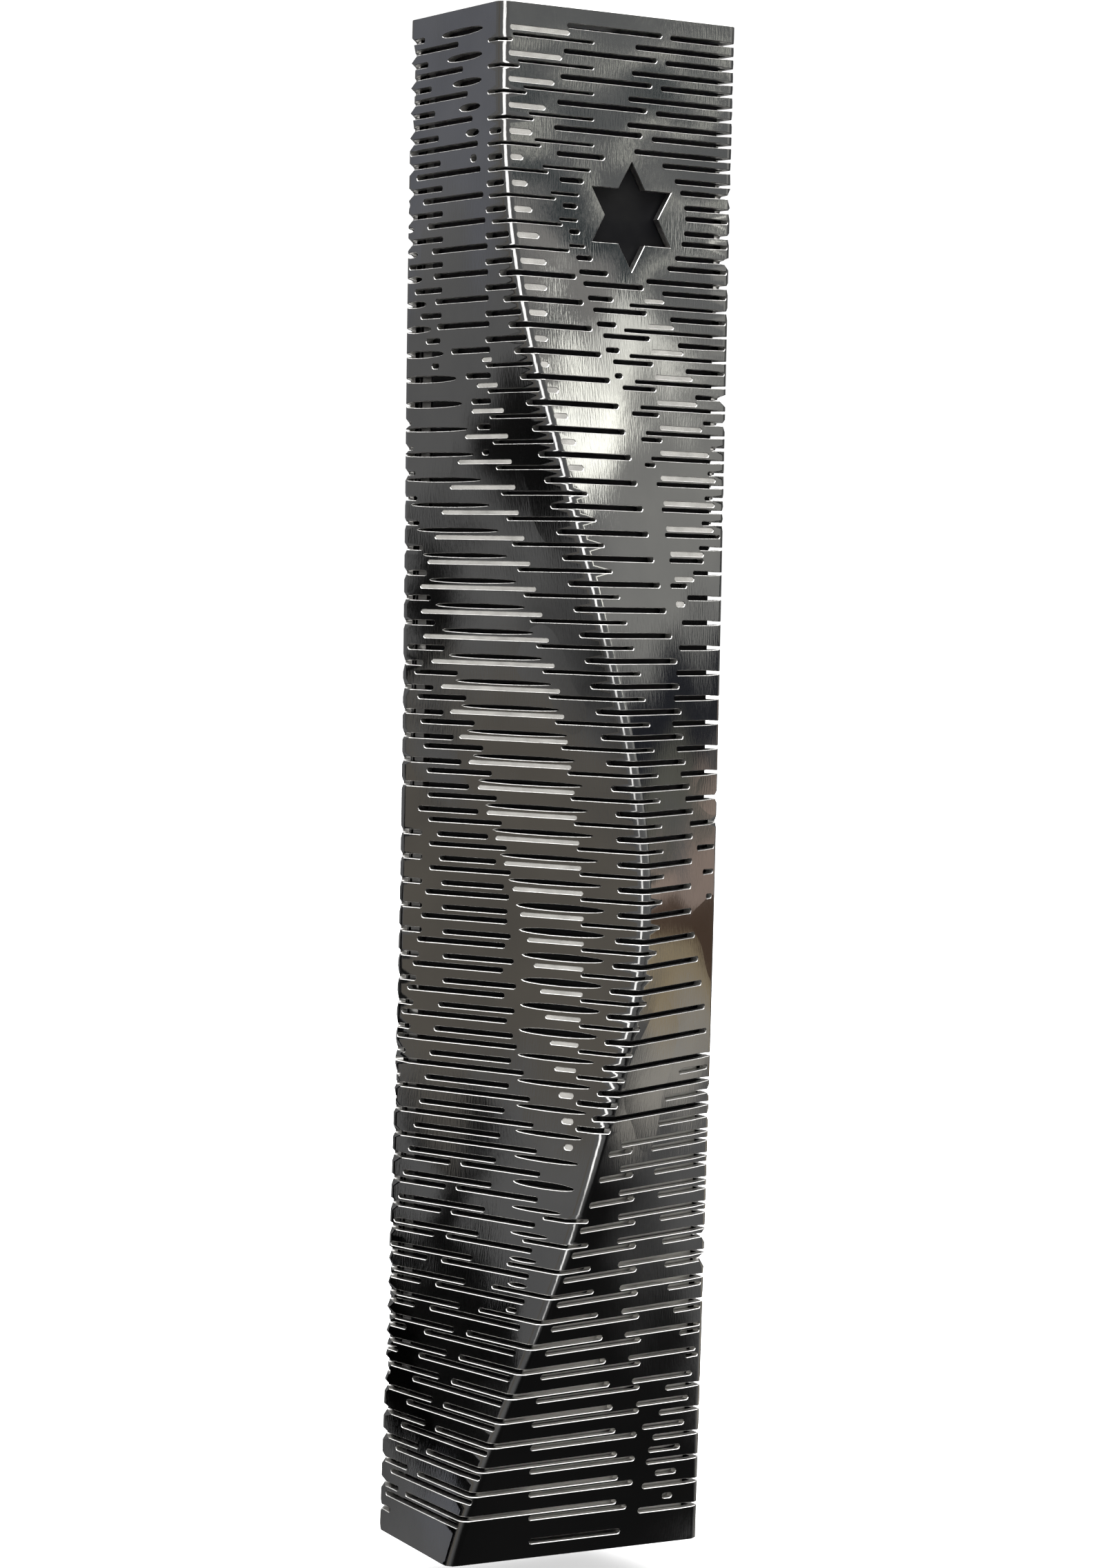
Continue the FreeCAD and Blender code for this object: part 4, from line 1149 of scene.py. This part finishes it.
NODE_FINISHES: dict[str, Finish] = {
    "back_plate": Finish.PLATE_STEEL, "top_cap": Finish.PLATE_STEEL,
    "tube_clip_lower": Finish.SPRING_STEEL, "tube_clip_upper": Finish.SPRING_STEEL,
    "clip_rivets": Finish.RIVET_STEEL, "clinch_nut": Finish.ZINC_STEEL,
    "lock_screw": Finish.ZINC_STEEL, "lock_washer": Finish.ZINC_STEEL,
    "spacer_washer": Finish.WHITE_NYLON, "scroll_tube": Finish.CLEAR_PLASTIC,
    "tube_base_plug": Finish.BLACK_PLASTIC, "tube_stopper": Finish.BLACK_PLASTIC,
}


def dress_nodes() -> None:
    """Gives every carried-over node its finish in all its material slots."""
    for name, finish in NODE_FINISHES.items():
        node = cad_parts[name]
        for slot in node.material_slots:
            slot.material = SHOP.material(finish)
        if not node.material_slots:
            node.data.materials.append(SHOP.material(finish))
        log.info("%s: %s", name, finish.name.lower())


# ---------------------------------------------------------------- studio
@dataclass(frozen=True)
class Patch:
    """A soft patch of the room: where it is and how large, in degrees, and its glow."""

    azimuth: float
    elevation: float
    width: float
    height: float
    glow: Colour
    softness: float = 0.4


# Laid one over the other: the walls, the dim ground and the bright ceiling, the lamp behind
# the camera, the window and the dark furniture to the front right, the things to the right
# and then the left of the room.
ROOM: tuple[Patch, ...] = (
    Patch(0, 0, 9999, 9999, (0.15, 0.15, 0.15)),
    Patch(0, -90, 9999, 74, (0.008, 0.008, 0.008), 0.09),
    Patch(0, 90, 9999, 58, (2.6, 2.6, 2.6), 0.12),
    Patch(-122, 18, 15, 26, (2.4, 2.4, 2.35), 0.3),
    Patch(-55, 8, 22, 14, (0.17, 0.175, 0.175)),
    Patch(-27, 6, 19, 10, (0.32, 0.32, 0.305), 0.3),
    Patch(-52, 16, 5, 3, (0.36, 0.35, 0.33), 0.4),
    Patch(-55, 11.3, 3.2, 1.3, (0.03, 0.045, 0.05), 0.5),
    Patch(-55.5, 8.3, 2.2, 0.7, (0.9, 0.9, 0.8), 0.6),
    Patch(-40, 16, 4.6, 4.2, (2.2, 2.2, 2.0), 0.35),
    Patch(-45, 11, 4.2, 3.6, (1.2, 1.2, 1.1), 0.45),
    Patch(-52, -24, 22, 13, (0.01, 0.01, 0.01), 0.25),
    Patch(-8, 3, 7, 9, (0.02, 0.022, 0.028), 0.3),
    Patch(1, 1, 4.5, 4, (0.13, 0.13, 0.11), 0.4),
    Patch(4, -3, 5, 1.8, (0.40, 0.31, 0.26), 0.4),
    Patch(6, -6, 7, 2.0, (0.10, 0.065, 0.045), 0.4),
    Patch(1, -10, 7, 3.2, (0.40, 0.32, 0.20), 0.3),
    Patch(-6, -12, 6, 5, (0.42, 0.40, 0.36), 0.4),
    Patch(120, 4, 6, 12, (0.17, 0.175, 0.195), 0.4),
    Patch(146, -12, 9, 5, (0.008, 0.008, 0.008), 0.4),
    Patch(159, -3, 8, 2.6, (0.006, 0.006, 0.006), 0.4),
    Patch(176, -3, 9, 16, (0.14, 0.128, 0.11), 0.4),
)


@dataclass
class Studio:
    """Pale floor, soft lights and the camera."""

    camera_at: Colour = (-0.1958, -0.3282, 0.0204)
    heading: float = 31.6
    tilt: float = 3.08
    roll: float = -1.356
    lens: float = 86.75
    floor_half: float = 2.5
    floor_drop: float = 0.004

    def build(self) -> None:
        """Makes everything that isn't the object."""
        bpy.context.scene.view_settings.view_transform = "Standard"
        self.floor()
        self.world()
        self.card("low_left_card", (-0.153, 0.197), (-0.236, 0.104), -0.2, -0.028)
        self.lamp("ceiling_panel", (-0.1, -0.25, 0.9), (0, 0, 0), (1.0, 1.0), 8.0)
        self.camera()

    def floor(self) -> None:
        """Large pale sheet a little below the case, unseen in reflections."""
        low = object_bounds()[0].z - self.floor_drop
        u = np.linspace(-self.floor_half, self.floor_half, 21)
        x, y = np.meshgrid(u, u)
        points = np.column_stack([x.ravel(), y.ravel(), np.full(x.size, low)])
        piece = new_piece("floor", points, [grid_faces(21, 21).reshape(-1, 4)])
        piece.data.materials.append(plain_material("floor_paper", {
            "Base Color": (0.9, 0.9, 0.9, 1.0), "Roughness": 0.9,
            "Emission Color": (1.0, 1.0, 1.0, 1.0), "Emission Strength": 0.6}))
        piece.visible_glossy = False
        piece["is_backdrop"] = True

    @staticmethod
    def card(name: str, start: tuple[float, float], end: tuple[float, float], low: float,
             high: float) -> None:
        """Black upright card that only reflections see.

        Args:
            name: object name.
            start: plan position of one end, metres.
            end: plan position of the other end, metres.
            low: height of its lower edge, metres.
            high: height of its upper edge, metres.
        """
        u = np.linspace(0, 1, 3)
        x, z = start[0] + (end[0] - start[0]) * u, np.array([low, high])
        y = start[1] + (end[1] - start[1]) * u
        points = np.column_stack([np.tile(x, 2), np.tile(y, 2), np.repeat(z, 3)])
        piece = new_piece(name, points, [grid_faces(2, 3).reshape(-1, 4)])
        piece.data.materials.append(plain_material("black_card", {
            "Base Color": (0.003, 0.003, 0.003, 1.0), "Roughness": 1.0,
            "Specular IOR Level": 0.0}))
        piece.visible_camera = piece.visible_diffuse = piece.visible_shadow = False
        piece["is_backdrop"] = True

    def world(self) -> None:
        """White surround to the eye, and a room of soft patches for light and reflections."""
        world = bpy.data.worlds.new("studio")
        bpy.context.scene.world = world
        world.use_nodes = True
        nodes, link = world.node_tree.nodes, world.node_tree.links.new
        seen, room = nodes["Background"], nodes.new("ShaderNodeBackground")
        set_inputs(seen, {"Color": (1.0, 1.0, 1.0, 1.0), "Strength": 1.1})
        direction = nodes.new("ShaderNodeTexCoord").outputs["Generated"]
        group = self.patch_group()
        colour = None
        for patch in ROOM:
            soft = nodes.new("ShaderNodeGroup")
            soft.node_tree = group
            set_inputs(soft, {"Azimuth": patch.azimuth, "Elevation": patch.elevation,
                              "Width": patch.width, "Height": patch.height,
                              "Softness": patch.softness, "Glow": (*patch.glow, 1.0)})
            link(direction, soft.inputs["Direction"])
            if colour is not None:
                link(colour, soft.inputs["Room"])
            colour = soft.outputs["Room"]
        link(colour, room.inputs["Color"])
        path = nodes.new("ShaderNodeLightPath")
        mix = nodes.new("ShaderNodeMixShader")
        link(path.outputs["Is Camera Ray"], mix.inputs[0])
        link(room.outputs[0], mix.inputs[1])
        link(seen.outputs[0], mix.inputs[2])
        link(mix.outputs[0], nodes["World Output"].inputs["Surface"])

    @staticmethod
    def patch_group() -> bpy.types.NodeTree:
        """Group that lays one soft oval patch over the room.

        Formula: the distance is the length of (azimuth off / width, elevation off / height)
        in degrees, and the patch fades out smoothly from 1 - softness to 1 + softness.
        """
        group, inputs, outputs = FinishShop.new_group(
            "room_patch",
            {"Direction": "NodeSocketVector", "Room": "NodeSocketColor",
             "Glow": "NodeSocketColor", "Azimuth": "NodeSocketFloat",
             "Elevation": "NodeSocketFloat", "Width": "NodeSocketFloat",
             "Height": "NodeSocketFloat", "Softness": "NodeSocketFloat"},
            {"Room": "NodeSocketColor"})
        new, link = group.nodes.new, group.links.new

        def maths(operation: str, first, second=None):
            """One Math node on sockets or numbers; returns its output."""
            node = new("ShaderNodeMath")
            node.operation = operation
            for slot, value in zip(node.inputs, (first, second)):
                if isinstance(value, bpy.types.NodeSocket):
                    link(value, slot)
                elif value is not None:
                    slot.default_value = value
            return node.outputs[0]

        parts = new("ShaderNodeSeparateXYZ")
        link(inputs.outputs["Direction"], parts.inputs[0])
        azimuth = maths("DEGREES", maths("ARCTAN2", parts.outputs[1], parts.outputs[0]))
        elevation = maths("DEGREES", maths("ARCSINE", parts.outputs[2]))
        turned = maths("SUBTRACT", azimuth, inputs.outputs["Azimuth"])
        near = maths("SUBTRACT", maths("FLOORED_MODULO", maths("ADD", turned, 180.0), 360.0),
                     180.0)
        u = maths("DIVIDE", near, inputs.outputs["Width"])
        v = maths("DIVIDE", maths("SUBTRACT", elevation, inputs.outputs["Elevation"]),
                  inputs.outputs["Height"])
        distance = maths("SQRT", maths("ADD", maths("MULTIPLY", u, u), maths("MULTIPLY", v, v)))
        fade = new("ShaderNodeMapRange")
        fade.interpolation_type = "SMOOTHSTEP"
        link(distance, fade.inputs["Value"])
        link(maths("ADD", inputs.outputs["Softness"], 1.0), fade.inputs["From Min"])
        link(maths("SUBTRACT", 1.0, inputs.outputs["Softness"]), fade.inputs["From Max"])
        mix = new("ShaderNodeMix")
        mix.data_type = "RGBA"
        link(fade.outputs[0], mix.inputs[0])
        link(inputs.outputs["Room"], mix.inputs[6])
        link(inputs.outputs["Glow"], mix.inputs[7])
        link(mix.outputs[2], outputs.inputs["Room"])
        return group

    @staticmethod
    def lamp(name: str, at: Colour, aim: Colour, size: tuple[float, float],
             power: float) -> bpy.types.Object:
        """A soft rectangular lamp at a point, facing another point.

        Args:
            name: lamp name.
            at: its middle, metres.
            aim: the point it faces, metres.
            size: width and height, metres.
            power: watts.

        Returns:
            The lamp object.
        """
        data = bpy.data.lights.new(name, "AREA")
        data.shape = "RECTANGLE"
        data.size, data.size_y = size
        data.energy = power
        lamp = bpy.data.objects.new(name, data)
        lamp.location = at
        lamp.rotation_euler = (Vector(aim) - Vector(at)).to_track_quat("-Z", "Y").to_euler()
        bpy.context.scene.collection.objects.link(lamp)
        return lamp

    def camera(self) -> None:
        """Long-lens camera a little left of the case and slightly above its middle."""
        turn, fall, roll = (math.radians(a) for a in (self.heading, self.tilt, self.roll))
        ahead = Vector((math.sin(turn) * math.cos(fall), math.cos(turn) * math.cos(fall),
                        -math.sin(fall)))
        level = Vector((math.cos(turn), -math.sin(turn), 0.0))
        upright = level.cross(ahead)
        right = level * math.cos(roll) - upright * math.sin(roll)
        up = right.cross(ahead)
        data = bpy.data.cameras.new("camera")
        data.lens = self.lens
        data.clip_start, data.clip_end = 0.01, 20.0
        camera = bpy.data.objects.new("camera", data)
        axes = Matrix((right, up, -ahead)).transposed().to_4x4()
        camera.matrix_world = Matrix.Translation(self.camera_at) @ axes
        bpy.context.scene.collection.objects.link(camera)
        bpy.context.scene.camera = camera


# ---------------------------------------------------------------- assembly
def main() -> None:
    """Builds the case, then the studio."""
    logging.basicConfig(level=logging.INFO, format="%(name)s: %(message)s")
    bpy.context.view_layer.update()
    low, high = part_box("cover")
    height = (high.z - low.z) / MM
    width = 2 * high.x / MM
    plan = FoldedPlan(width, SIDE_DEPTH, height)
    pattern = Pattern(plan)
    Cover(plan, pattern).build()
    Liner(FoldedPlan(width, SIDE_DEPTH, height, bend=2.0), pattern).build()
    Scroll().build()
    dress_nodes()
    Studio().build()


if __name__ == "__main__":
    main()
